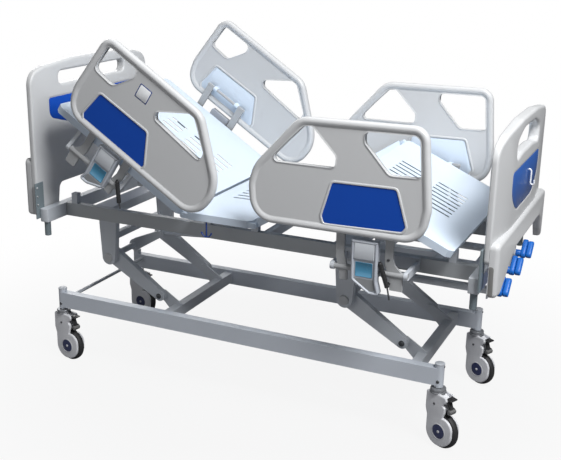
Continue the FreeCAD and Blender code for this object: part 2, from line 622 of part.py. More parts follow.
for tag, end, sign, low, long, tall, windows, inlay in (
        ("foot", "foot_end", 1, "foot_rail_low", "foot_long", "foot_tall", FOOT_WINDOWS, FOOT_INLAY),
        ("head", "head_end", -1, "head_rail_low", "head_long", "head_tall", HEAD_WINDOWS, HEAD_INLAY)):
    about = ("back_x", "hinge_z", "back_tilt") if tag == "head" else None
    shell, plate = rail_shell("rail", size(end), size(long), size(tall), size(low), sign, windows, inlay)
    arms, latch, across = swing_parts(end, sign, low)
    for name, piece in (("shell", shell), ("inlay", plate), ("arms", arms), ("latch", latch)):
        right = group(piece) if about else piece
        if right in subparts or not about:
            right = group(piece)
        finish(right, "rail_%s_%s_right" % (name, tag), about)
        finish(mirror(piece), "rail_%s_%s_left" % (name, tag), about)
    pivot_z = "(%s+swing_low)" % low
    anchor_y, anchor_z = ("frame_out+16.5", "735") if tag == "foot" else ("deck_half-sheet-8", pivot_z + "+62")
    lug_parts = []
    for span in ((81, 97), (373, 389)):
        a, b = across(*span)
        lug = padded("YZ", a, b, strap, "-swing_y", pivot_z, "16", "-(%s)" % anchor_y, anchor_z,
                     "16" if tag == "foot" else "8")
        lug_parts.append(cut(lug, round_bar("x", a + "-1", b + "+1", "-swing_y", pivot_z, "low_tube+slack")))
        if tag == "head":
            lug_parts.append(box(a, b, "-deck_half+sheet", "-deck_half+sheet+8", pivot_z + "+62",
                                 "hinge_z+rise-sheet"))
    a, b = across(81, 389)
    if tag == "foot":
        lug_parts.append(box(a, b, "-frame_out-12", "-frame_out", "frame_low+12", "frame_high"))
    else:
        lug_parts.append(box(a, b, "-deck_half+sheet", "-deck_half+sheet+8", pivot_z + "+84",
                             "hinge_z+rise-sheet"))
    finish(both(fuse(*lug_parts)), "rail_mounts_" + tag, about)

# drainage bag hooks under the seat's edges
hook_bar = round_bar("z", "757", "hinge_z+rise-sheet", "-70", "-430", "3.5")
hook_one = link("-433.5", "-426.5", "-70", "752", "5", "-92", "768", "3.5")
hook_two = link("-433.5", "-426.5", "-70", "752", "5", "-48", "768", "3.5")
finish(both(fuse(hook_bar, hook_one, hook_two)), "drainage_hooks")

# screw tubes of the cranks, on a bearing plate under the foot member, and the guide of the drive rod
bearing_x = "frame_foot+member"
tubes = [box("frame_foot+member-6", "frame_foot+member", "-275", "235", "crank_z-24", "frame_low")]
bores = []
for crank, start, rise in (("crank_right", "560", "0"), ("crank_middle", "800", "15"), ("crank_left", "300", "20")):
    z = "crank_z+%s" % rise
    tubes.append(round_bar("x", start, "frame_foot+member+8", crank, z, "screw_radius"))
    tubes.append(box("%s+20" % start, "%s+40" % start, crank + "-10", crank + "+10", z, "frame_low+1"))
    bores.append(round_bar("x", "frame_foot-120", "frame_foot+member+9", crank, z, "9+slack"))
tubes.append(box("450", "820", "rod_y-16", "rod_y+16", "frame_low-2.5", "frame_low+0.5"))
for low, high in (("rod_y-18.5", "rod_y-16"), ("rod_y+16", "rod_y+18.5")):
    tubes.append(box("450", "820", low, high, "655", "frame_low+0.5"))
carrier = [box(a, b, "-frame_in", "frame_in", "frame_low", "frame_low+16") for a, b in
           (("560", "600"), ("800", "840"), ("frame_foot-50", "frame_foot-10"))]
finish(cut(fuse(*tubes, *carrier), fuse(*bores)), "crank_housings")

# cranks with folding grips, made with the arm along +Y and then leaned in the plane across the bed
GRIP_X = "crank_x+22"
for crank, rise in (("right", "0"), ("middle", "15"), ("left", "20")):
    y, z = "crank_" + crank, "crank_z+" + rise
    shaft = round_bar("x", "frame_foot-100", "crank_x-10", "0", "0", "9")
    hub = round_bar("x", "frame_foot+member+10", "crank_x-8", "0", "0", "15")
    arm = padded("YZ", "crank_x-10", "crank_x+8", strap, "0", "0", "17", "crank_reach", "0", "13")
    ear = box("crank_x+6", GRIP_X + "+6", "crank_reach-6", "crank_reach+6", "12.3", "16")
    other = box("crank_x+6", GRIP_X + "+6", "crank_reach-6", "crank_reach+6", "-16", "-12.3")
    pin = round_bar("z", "-16", "16", GRIP_X, "crank_reach", "4")
    seat_at(fuse(shaft, hub, arm, ear, other, pin), "crank_" + crank, "0", y, z, V(1, 0, 0), "grip_lean")
    grip = padded("XY", "-12", "12", strap, GRIP_X, "crank_reach", "11", GRIP_X, "0", "11")
    seat_at(cut(grip, round_bar("z", "-13", "13", GRIP_X, "crank_reach", "4+slack")), "crank_grip_" + crank,
            "0", y, z, V(1, 0, 0), "grip_lean")

doc.recompute()

problems = []
for obj in doc.Objects:
    if "Invalid" in obj.State or "Error" in obj.State:
        problems.append("%s %s %s" % (obj.Name, obj.TypeId, obj.State))
for obj in subparts:
    if obj.Shape.isNull() or not obj.Shape.isValid():
        problems.append(obj.Label + " shape")
if problems:
    raise RuntimeError("; ".join(problems))

os.makedirs("parts", exist_ok=True)
for obj in subparts:
    obj.Shape.exportStep("parts/%s.step" % obj.Label)
print(len(subparts), "sub-parts written")
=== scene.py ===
"""Dressed model of a manual hospital bed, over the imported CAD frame."""

import json
import logging
import math
from dataclasses import dataclass, field
from enum import Enum
from typing import Callable

import bpy
import bmesh
import numpy as np
from mathutils import Matrix, Vector
from mathutils.geometry import delaunay_2d_cdt


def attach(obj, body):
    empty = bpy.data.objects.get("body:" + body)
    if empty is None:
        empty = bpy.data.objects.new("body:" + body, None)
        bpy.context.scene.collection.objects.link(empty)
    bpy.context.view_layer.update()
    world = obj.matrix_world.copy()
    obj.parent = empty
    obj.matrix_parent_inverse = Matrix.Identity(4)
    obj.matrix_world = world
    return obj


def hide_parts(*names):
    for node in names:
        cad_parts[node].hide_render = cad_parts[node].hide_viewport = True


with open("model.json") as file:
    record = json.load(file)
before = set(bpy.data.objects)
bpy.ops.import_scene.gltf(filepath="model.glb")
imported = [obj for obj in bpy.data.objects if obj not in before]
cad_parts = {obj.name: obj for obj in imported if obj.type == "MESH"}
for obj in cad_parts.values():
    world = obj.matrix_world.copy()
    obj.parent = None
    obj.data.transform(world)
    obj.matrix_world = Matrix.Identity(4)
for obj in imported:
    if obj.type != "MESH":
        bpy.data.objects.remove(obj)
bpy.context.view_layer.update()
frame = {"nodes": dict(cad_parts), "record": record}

log = logging.getLogger("bed")

# The rest pose, in metres, as the CAD source has it.
MIDDLE_X = 0.075
BACK_TILT = math.radians(32.8)
BACK_HINGE = (-0.180 - MIDDLE_X, 0.832)
DAMPER_HEAD = ((-0.5397, 0.9509), (-0.5336, 0.8574), (-0.5297, 0.8320))


class Side(Enum):
    """The two sides of the bed; the value is the sign of Y."""

    RIGHT = -1
    LEFT = 1


class End(Enum):
    """The two ends of the bed; the value is the sign of X."""

    HEAD = -1
    FOOT = 1


# The side rails' outer ends in X, the caster posts' distances from the middle, and the forks' headings.
RAIL_END = {End.FOOT: 0.874 - MIDDLE_X, End.HEAD: -0.843 - MIDDLE_X}
POST_X = 0.900
POST_Y = 0.315
HEADING = {End.FOOT: math.radians(-25.0), End.HEAD: math.radians(-8.0)}

Mesh = tuple[np.ndarray, np.ndarray]
Point = tuple[float, float, float] | np.ndarray
Corners = list[tuple[float, float, float]]
Profile = list[tuple[float, float]]
Place = Callable[[np.ndarray], np.ndarray]


def tag_of(end: End, side: Side) -> str:
    """Name of one corner of the bed, as the record's nodes have it."""
    return "%s_%s" % (end.name.lower(), side.name.lower())


# shader nodes


def set_inputs(node: bpy.types.Node, **values: object) -> None:
    """Set a node's inputs; an underscore stands for a space in an input's name."""
    for name, value in values.items():
        node.inputs[name.replace("_", " ")].default_value = value


def added(tree: bpy.types.NodeTree, kind: str, **values: object) -> bpy.types.Node:
    """Add one shader node and set its inputs.

    Args:
        tree: the node tree.
        kind: the node's type after ShaderNode.
        values: its inputs, with an underscore for a space.

    Returns:
        The new node.
    """
    node = tree.nodes.new("ShaderNode" + kind)
    set_inputs(node, **values)
    return node


def linked(tree: bpy.types.NodeTree, *wires: tuple) -> None:
    """Join nodes; each wire names a node, its output, the next node and its input."""
    for source, output, target, entry in wires:
        tree.links.new(source.outputs[output], target.inputs[entry])


# finishes


@dataclass(frozen=True)
class Finish:
    """A coated, moulded or rubber surface built from noise on object coordinates."""

    name: str
    colour: tuple[float, float, float]
    rough: float
    metal: float = 0.0
    mottle: float = 0.02
    mottle_scale: float = 9.0
    grain: float = 0.08
    grain_scale: float = 700.0
    rough_swing: float = 0.06
    coat: float = 0.0
    specular: float = 0.5

    def material(self) -> bpy.types.Material:
        """Build the material once and return it afterwards.

        Returns:
            The node material of this finish.
        """
        known = bpy.data.materials.get(self.name)
        if known:
            return known
        made = bpy.data.materials.new(self.name)
        made.use_nodes = True
        tree = made.node_tree
        shader = tree.nodes["Principled BSDF"]
        set_inputs(shader, Metallic=self.metal, Coat_Weight=self.coat, Coat_Roughness=0.2,
                   Specular_IOR_Level=self.specular)
        where = added(tree, "TexCoord")
        broad = added(tree, "TexNoise", Scale=self.mottle_scale, Detail=4.0)
        ramp = added(tree, "Mix")
        ramp.data_type = "RGBA"
        low = [max(0.0, c * (1 - self.mottle)) for c in self.colour]
        high = [min(1.0, c * (1 + self.mottle)) for c in self.colour]
        set_inputs(ramp, A=(*low, 1.0), B=(*high, 1.0))
        wear = added(tree, "MapRange", To_Min=max(0.02, self.rough - self.rough_swing),
                     To_Max=min(1.0, self.rough + self.rough_swing))
        fine = added(tree, "TexNoise", Scale=self.grain_scale, Detail=2.0)
        bump = added(tree, "Bump", Strength=self.grain, Distance=0.0004)
        linked(tree, (where, "Object", broad, "Vector"), (broad, "Fac", ramp, "Factor"),
               (ramp, "Result", shader, "Base Color"), (broad, "Fac", wear, "Value"),
               (wear, "Result", shader, "Roughness"), (where, "Object", fine, "Vector"),
               (fine, "Fac", bump, "Height"), (bump, "Normal", shader, "Normal"))
        return made


FRAME_COAT = Finish("frame powder coat", (0.55, 0.58, 0.62), 0.42, mottle=0.03, grain=0.16, grain_scale=900.0)
# Lighter, bluer copy of the frame coat for the base side frames: painted light, where the lamps reach the low
# base rails.
BASE_LIT_COAT = Finish("base powder coat", (0.56, 0.60, 0.66), 0.42, mottle=0.03, grain=0.16, grain_scale=900.0)
# Darker copy of the frame coat for the upper side rails: painted shade, where the deck above shadows them.
UPPER_SHADED_COAT = Finish("upper powder coat", (0.42, 0.44, 0.455), 0.42, mottle=0.03, grain=0.16,
                    grain_scale=900.0)
# Darker copy of the frame coat for the arms: painted shade, where they sit under the deck.
ARM_SHADED_COAT = Finish("arm powder coat", (0.40, 0.41, 0.42), 0.40, mottle=0.03, grain=0.14, grain_scale=900.0)
DECK_COAT = Finish("deck powder coat", (0.64, 0.73, 0.84), 0.38, mottle=0.02, grain=0.10, grain_scale=800.0)
PLATE_COAT = Finish("mount plate coat", (0.17, 0.21, 0.23), 0.45, mottle=0.05, grain=0.12)
MOULDING = Finish("moulded shell", (0.59, 0.60, 0.61), 0.38, mottle=0.012, grain=0.012, grain_scale=900.0)
INLAY_BLUE = Finish("blue inlay", (0.004, 0.065, 0.42), 0.50, mottle=0.03, grain=0.22, grain_scale=1100.0,
                    specular=0.22)
POCKET_BLUE = Finish("blue pocket", (0.035, 0.115, 0.40), 0.34, mottle=0.10, mottle_scale=9.0, grain=0.03,
                     specular=0.5)
CRANK_BLUE = Finish("crank blue", (0.012, 0.13, 0.50), 0.38, mottle=0.03, grain=0.04, specular=0.3)
HOOK_BLUE = Finish("hook blue", (0.015, 0.045, 0.22), 0.40)
LABEL_BLUE = Finish("label cyan", (0.07, 0.26, 0.42), 0.25, mottle=0.06, mottle_scale=40.0, grain=0.02)
COVER_GREY = Finish("caster cover", (0.72, 0.73, 0.76), 0.40, mottle=0.02, grain=0.08, grain_scale=1200.0)
LATCH_GREY = Finish("latch cover", (0.44, 0.47, 0.52), 0.34, mottle=0.015, grain=0.05)
# Lighter copy of the latch moulding for the brow: painted light on the upper face of the sunk front.
LATCH_PAINTED_LIGHT = Finish("latch brow painted lighter", (0.58, 0.61, 0.65), 0.32, mottle=0.01, grain=0.04)
COVER_LIGHT = Finish("hub ring", (0.62, 0.63, 0.66), 0.36, grain=0.05)
COLLAR = Finish("swivel collar", (0.30, 0.31, 0.33), 0.38, metal=0.5, mottle=0.06, mottle_scale=60.0,
                grain=0.06)
# Darker copy of the latch moulding for the lower part of its sunk front: painted shade.
LATCH_PAINTED_SHADE = Finish("latch painted shade", (0.26, 0.27, 0.28), 0.42)
TREAD = Finish("tread rubber", (0.022, 0.022, 0.024), 0.62, mottle=0.15, grain=0.3, grain_scale=500.0)
PEDAL_BLACK = Finish("pedal black", (0.025, 0.025, 0.027), 0.38, grain=0.1)
PAD_GREY = Finish("pedal pad", (0.17, 0.17, 0.17), 0.5, grain=0.12)
BLACK = Finish("black fittings", (0.02, 0.02, 0.022), 0.40, grain=0.08)
EMBLEM = Finish("hub disc", (0.035, 0.045, 0.12), 0.35)
CAP_GREY = Finish("pivot cap", (0.50, 0.51, 0.52), 0.40, grain=0.1)
ZINC = Finish("zinc bolt", (0.42, 0.43, 0.44), 0.34, metal=1.0, mottle=0.12, mottle_scale=120.0, grain=0.1)
DARK_BOLT = Finish("dark bolt", (0.10, 0.105, 0.11), 0.42, metal=0.6, mottle=0.1, mottle_scale=90.0)
# Painted shade: a dark sheet on the footboard legs where a hollow lies in shadow.
LEG_SHADE = Finish("leg painted shade", (0.20, 0.20, 0.195), 0.5, grain=0.05)
STICKER = Finish("sticker face", (0.80, 0.82, 0.84), 0.30, grain=0.02)

NODE_FINISHES: dict[str, Finish] = {
    "frame_paint": FRAME_COAT, "deck_paint": DECK_COAT, "arm_paint": ARM_SHADED_COAT, "moulding": MOULDING,
    "inlay": INLAY_BLUE, "latch_cover": LATCH_GREY, "crank_blue": CRANK_BLUE, "plate_paint": PLATE_COAT,
    "cap": CAP_GREY, "caster_cover": COVER_GREY, "tyre": TREAD, "pedal": PEDAL_BLACK,
}
# Nodes whose coat is a copy of the frame coat: painted light on the base side frames, painted shade on the
# upper side rails.
NODE_LIT_AND_SHADED_COATS: dict[str, Finish] = {"base_side_frames": BASE_LIT_COAT, "upper_side_rails": UPPER_SHADED_COAT}


# mesh helpers


def joined(parts: list[Mesh]) -> tuple[np.ndarray, list]:
    """Put several meshes into one set of vertices and faces.

    Args:
        parts: the meshes.

    Returns:
        Vertices and faces.
    """
    verts, faces, start = [], [], 0
    for v, f in parts:
        verts.append(v)
        faces += [[int(i) + start for i in face] for face in f]
        start += len(v)
    return np.vstack(verts), faces


def piece(name: str, parts: list[Mesh], finish: Finish, body: str,
          replaces: tuple[str, ...] = (), smooth: float = 40.0) -> None:
    """Make one object from meshes, give it a finish and let it ride on a body.

    Args:
        name: name of the piece.
        parts: its meshes, each as vertices and faces.
        finish: its finish.
        body: the CAD body that carries it.
        replaces: CAD nodes that it stands for.
        smooth: angle in degrees below which edges look round.
    """
    verts, faces = joined(parts)
    mesh = bpy.data.meshes.new(name)
    mesh.from_pydata(verts.tolist(), [], faces)
    mesh.update()
    made = bpy.data.objects.new(name, mesh)
    bpy.context.scene.collection.objects.link(made)
    mesh.materials.append(finish.material())
    shape = bmesh.new()
    shape.from_mesh(mesh)
    bmesh.ops.remove_doubles(shape, verts=shape.verts, dist=1e-6)
    bmesh.ops.recalc_face_normals(shape, faces=shape.faces)
    shaded(shape, smooth)
    shape.to_mesh(mesh)
    shape.free()
    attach(made, body)
    if replaces:
        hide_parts(*replaces)
    log.info("%s rides on %s", name, body)


def shaded(shape: bmesh.types.BMesh, angle: float) -> None:
    """Shade a mesh smooth, with sharp edges above an angle in degrees.

    Args:
        shape: the open mesh.
        angle: edges that turn by more stay sharp.
    """
    limit = math.radians(angle)
    for face in shape.faces:
        face.smooth = True
    for edge in shape.edges:
        edge.smooth = len(edge.link_faces) == 2 and edge.calc_face_angle(math.pi) < limit


def softened(node: str, finish: Finish, body: str, width: float, angle: float = 35.0) -> None:
    """Stand-in for a CAD node: its own shape with small rounds on its edges.

    Args:
        node: the CAD node.
        finish: its finish.
        body: the body that it belongs to.
        width: width of the rounds in metres.
        angle: edges sharper than this many degrees are rounded.
    """
    mesh = frame["nodes"][node].data.copy()
    mesh.name = node + "_soft"
    made = bpy.data.objects.new(node + "_soft", mesh)
    bpy.context.scene.collection.objects.link(made)
    shape = bmesh.new()
    shape.from_mesh(mesh)
    bmesh.ops.remove_doubles(shape, verts=shape.verts, dist=2e-6)
    bmesh.ops.dissolve_limit(shape, angle_limit=math.radians(2.0), verts=shape.verts, edges=shape.edges)
    shaded(shape, angle)
    shape.to_mesh(mesh)
    shape.free()
    mesh.materials.clear()
    mesh.materials.append(finish.material())
    bevel = made.modifiers.new("rounds", "BEVEL")
    bevel.width = width
    bevel.segments = 2
    bevel.limit_method = "ANGLE"
    bevel.angle_limit = math.radians(angle)
    bevel.harden_normals = True
    bevel.use_clamp_overlap = True
    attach(made, body)
    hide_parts(node)
    log.info("%s stands for %s", made.name, node)


def turned_back(points: np.ndarray) -> np.ndarray:
    """Turn points from the flat backrest to its rest tilt: a rotation about +Y through the backrest hinge.

    Args:
        points: points in the row frame.

    Returns:
        The turned points.
    """
    points = np.asarray(points, float).copy()
    dx, dz = points[..., 0] - BACK_HINGE[0], points[..., 2] - BACK_HINGE[1]
    points[..., 0] = BACK_HINGE[0] + dx * math.cos(BACK_TILT) + dz * math.sin(BACK_TILT)
    points[..., 2] = BACK_HINGE[1] - dx * math.sin(BACK_TILT) + dz * math.cos(BACK_TILT)
    return points


# outlines and surfaces


def rounded_outline(corners: Corners, steps: int = 9) -> np.ndarray:
    """Sample a polygon whose corners are arcs.

    Each corner (a, b, r) is met by an arc that touches both of its sides at r / tan(half the corner's angle).

    Args:
        corners: corner points with their radii, in order.
        steps: points on each arc.

    Returns:
        Points of the closed outline, counter-clockwise, one row each.
    """
    spots = np.array([c[:2] for c in corners], float)
    radii = np.array([c[2] for c in corners], float)
    before = np.roll(spots, 1, axis=0) - spots
    after = np.roll(spots, -1, axis=0) - spots
    before /= np.linalg.norm(before, axis=1, keepdims=True)
    after /= np.linalg.norm(after, axis=1, keepdims=True)
    half = np.arccos(np.clip((before * after).sum(1), -1, 1)) / 2
    bisect = before + after
    bisect /= np.linalg.norm(bisect, axis=1, keepdims=True)
    centre = spots + bisect * (radii / np.sin(half))[:, None]
    start = spots + before * (radii / np.tan(half))[:, None] - centre
    stop = spots + after * (radii / np.tan(half))[:, None] - centre
    first = np.arctan2(start[:, 1], start[:, 0])
    turn = np.arctan2(stop[:, 1], stop[:, 0]) - first
    turn = (turn + math.pi) % (2 * math.pi) - math.pi
    angle = first[:, None] + turn[:, None] * np.linspace(0, 1, steps)[None, :]
    line = centre[:, None, :] + radii[:, None, None] * np.stack([np.cos(angle), np.sin(angle)], -1)
    line = line.reshape(-1, 2)
    area = (line[:, 0] * np.roll(line[:, 1], -1) - np.roll(line[:, 0], -1) * line[:, 1]).sum()
    return line if area > 0 else line[::-1]


def mm_outline(corners: Corners, steps: int = 9) -> np.ndarray:
    """A rounded outline whose corners and radii are in millimetres."""
    return rounded_outline([(a / 1000, b / 1000, r / 1000) for a, b, r in corners], steps)


def rounded_box(low: tuple[float, float], high: tuple[float, float], radius: float, steps: int) -> np.ndarray:
    """A rectangle with rounded corners, as a closed line."""
    (a, b), (c, d) = low, high
    return rounded_outline([(a, b, radius), (c, b, radius), (c, d, radius), (a, d, radius)], steps)


def both_ways(half: Profile, total: float) -> Profile:
    """A profile of (inset, height) with its mirror image about half of a total height."""
    return half + [(inset, total - height) for inset, height in half[-2::-1]]


def inward(line: np.ndarray) -> np.ndarray:
    """Unit normals of a counter-clockwise closed line, pointing into it: the tangent turned left.

    Args:
        line: the closed line.

    Returns:
        One normal for each point.
    """
    ahead = np.roll(line, -1, axis=0) - line
    behind = line - np.roll(line, 1, axis=0)
    ahead /= np.linalg.norm(ahead, axis=1, keepdims=True) + 1e-12
    behind /= np.linalg.norm(behind, axis=1, keepdims=True) + 1e-12
    tangent = ahead + behind
    tangent /= np.linalg.norm(tangent, axis=1, keepdims=True) + 1e-12
    return np.stack([-tangent[:, 1], tangent[:, 0]], -1)


def shifted(line: np.ndarray, inset: float) -> np.ndarray:
    """Move a closed line inwards along its normals."""
    return line + inward(line) * inset


def grid_faces(rows: int, columns: int, wrap_rows: bool, wrap_columns: bool) -> np.ndarray:
    """Quads of a grid of vertices stored row by row, closed on itself where asked.

    Args:
        rows: number of rows.
        columns: number of columns.
        wrap_rows: the last row joins the first.
        wrap_columns: the last column joins the first.

    Returns:
        One row of four vertex numbers for each face.
    """
    r = np.arange(rows if wrap_rows else rows - 1)
    c = np.arange(columns if wrap_columns else columns - 1)
    r, c = (m.ravel() for m in np.meshgrid(r, c, indexing="ij"))
    r2, c2 = (r + 1) % rows, (c + 1) % columns
    return np.stack([r * columns + c, r2 * columns + c, r2 * columns + c2, r * columns + c2], -1)


def inside(points: np.ndarray, line: np.ndarray) -> np.ndarray:
    """Tell which points lie in a closed line, by counting the crossings of a ray.

    Args:
        points: points, one row each.
        line: the closed line.

    Returns:
        One truth value for each point.
    """
    x, y = points[:, 0][:, None], points[:, 1][:, None]
    x1, y1 = line[:, 0], line[:, 1]
    x2, y2 = np.roll(x1, 1), np.roll(y1, 1)
    crosses = (y1 > y) != (y2 > y)
    at = (x2 - x1) * (y - y1) / np.where(y2 == y1, 1e-12, y2 - y1) + x1
    return (crosses & (x < at)).sum(1) % 2 == 1


def flat_fill(outer: np.ndarray, holes: list[np.ndarray]) -> Mesh:
    """Triangles that fill a flat area with holes.

    Args:
        outer: the area's closed line.
        holes: closed lines inside it.

    Returns:
        Points in the plane, and triangles.
    """
    lines = [outer, *holes]
    points = np.vstack(lines)
    starts = np.cumsum([0] + [len(l) for l in lines])
    edges = [(int(a + i), int(a + (i + 1) % n)) for a, n in zip(starts, map(len, lines)) for i in range(n)]
    found, _, tris, *_ = delaunay_2d_cdt([Vector(p) for p in points], edges, [], 0, 1e-9)
    found = np.array([tuple(v) for v in found])
    tris = np.array([t for t in tris if len(t) == 3])
    middle = found[tris].mean(1)
    keep = inside(middle, outer)
    for hole in holes:
        keep &= ~inside(middle, hole)
    return found, tris[keep]


def turned_profile(profile: Profile, centre: Point, axis: Point, steps: int) -> Mesh:
    """Surface of revolution: a profile of (radius, height) turned about an axis.

    Args:
        profile: radii and heights, from one pole to the other.
        centre: the point at height 0.
        axis: direction of the height.
        steps: points round the axis.

    Returns:
        Vertices and faces.
    """
    axis = np.asarray(axis, float) / np.linalg.norm(axis)
    side = np.cross(axis, (0.0, 0.0, 1.0) if abs(axis[2]) < 0.9 else (1.0, 0.0, 0.0))
    side /= np.linalg.norm(side)
    other = np.cross(axis, side)
    angle = np.linspace(0, 2 * math.pi, steps, endpoint=False)
    ring = np.cos(angle)[:, None] * side + np.sin(angle)[:, None] * other
    profile = np.asarray(profile, float)
    verts = np.asarray(centre, float) + profile[:, 0][:, None, None] * ring[None] + (
        profile[:, 1][:, None, None] * axis)
    return verts.reshape(-1, 3), grid_faces(len(profile), steps, False, True)


def swept_tube(path: np.ndarray, radius: float, steps: int = 12) -> Mesh:
    """Round tube along a path, with closed ends: a circle carried in the planes square to the path.

    Args:
        path: points of the middle line.
        radius: radius of the tube.
        steps: points round it.

    Returns:
        Vertices and faces.
    """
    path = np.asarray(path, float)
    along = np.gradient(path, axis=0)
    along /= np.linalg.norm(along, axis=1, keepdims=True)
    guide = np.array((0.0, 1.0, 0.0)) if np.abs(along[:, 1]).max() < 0.9 else np.array((0.0, 0.0, 1.0))
    side = np.cross(along, guide)
    side /= np.linalg.norm(side, axis=1, keepdims=True)
    other = np.cross(along, side)
    angle = np.linspace(0, 2 * math.pi, steps, endpoint=False)
    ring = path[:, None] + radius * (np.cos(angle)[None, :, None] * side[:, None] +
                                     np.sin(angle)[None, :, None] * other[:, None])
    cap = [path[:1, None].repeat(steps, 1), ring, path[-1:, None].repeat(steps, 1)]
    verts = np.concatenate(cap).reshape(-1, 3)
    return verts, grid_faces(len(path) + 2, steps, False, True)


def filled(outer: np.ndarray, holes: list[np.ndarray], height: float, place: Place) -> Mesh:
    """Flat surface at one height, carried into the row frame."""
    flat, tris = flat_fill(outer, holes)
    return place(np.column_stack([flat, np.full(len(flat), height)])), tris


def carried(line: np.ndarray, profile: Profile, place: Place) -> Mesh:
    """Surface of a profile of (inset, height) carried round a closed line.

    Args:
        line: the closed line.
        profile: insets from it, and heights.
        place: carries (across, up, height) into the row frame.

    Returns:
        Vertices and faces.
    """
    shape = np.array(profile, float)
    flat = line[:, None, :] + inward(line)[:, None, :] * shape[None, :, 0, None]
    tall = np.broadcast_to(shape[None, :, 1, None], (*flat.shape[:2], 1))
    verts = place(np.concatenate([flat, tall], -1))
    return verts.reshape(-1, 3), grid_faces(len(line), len(shape), True, False)


def pressed(line: np.ndarray, profile: Profile, place: Place) -> Mesh:
    """Closed moulding: a profile carried round a closed line, with its first and last edge filled.

    Args:
        line: the closed line.
        profile: insets from it and heights, from the back to the front.
        place: carries (across, up, height) into the row frame.

    Returns:
        Vertices and faces.
    """
    parts = [carried(line, profile, place)]
    for inset, height in (profile[0], profile[-1]):
        parts.append(filled(shifted(line, inset), [], height, place))
    return joined(parts)


def bolt(centre: Point, axis: Point, radius: float, high: float) -> Mesh:
    """Button head with a round socket: a profile turned about the bolt's axis.

    Args:
        centre: the middle of its seat.
        axis: direction out of the seat.
        radius: radius of the head.
        high: height of the head.

    Returns:
        Vertices and faces.
    """
    r, h = radius, high
    profile = [(0.0, h * 0.45), (r * 0.42, h * 0.45), (r * 0.46, h * 0.98), (r * 0.62, h), (r * 0.9, h * 0.6),
               (r, h * 0.15), (r, -h * 0.2), (0.0, -h * 0.2)]
    return turned_profile(profile, centre, axis, 20)


# stage


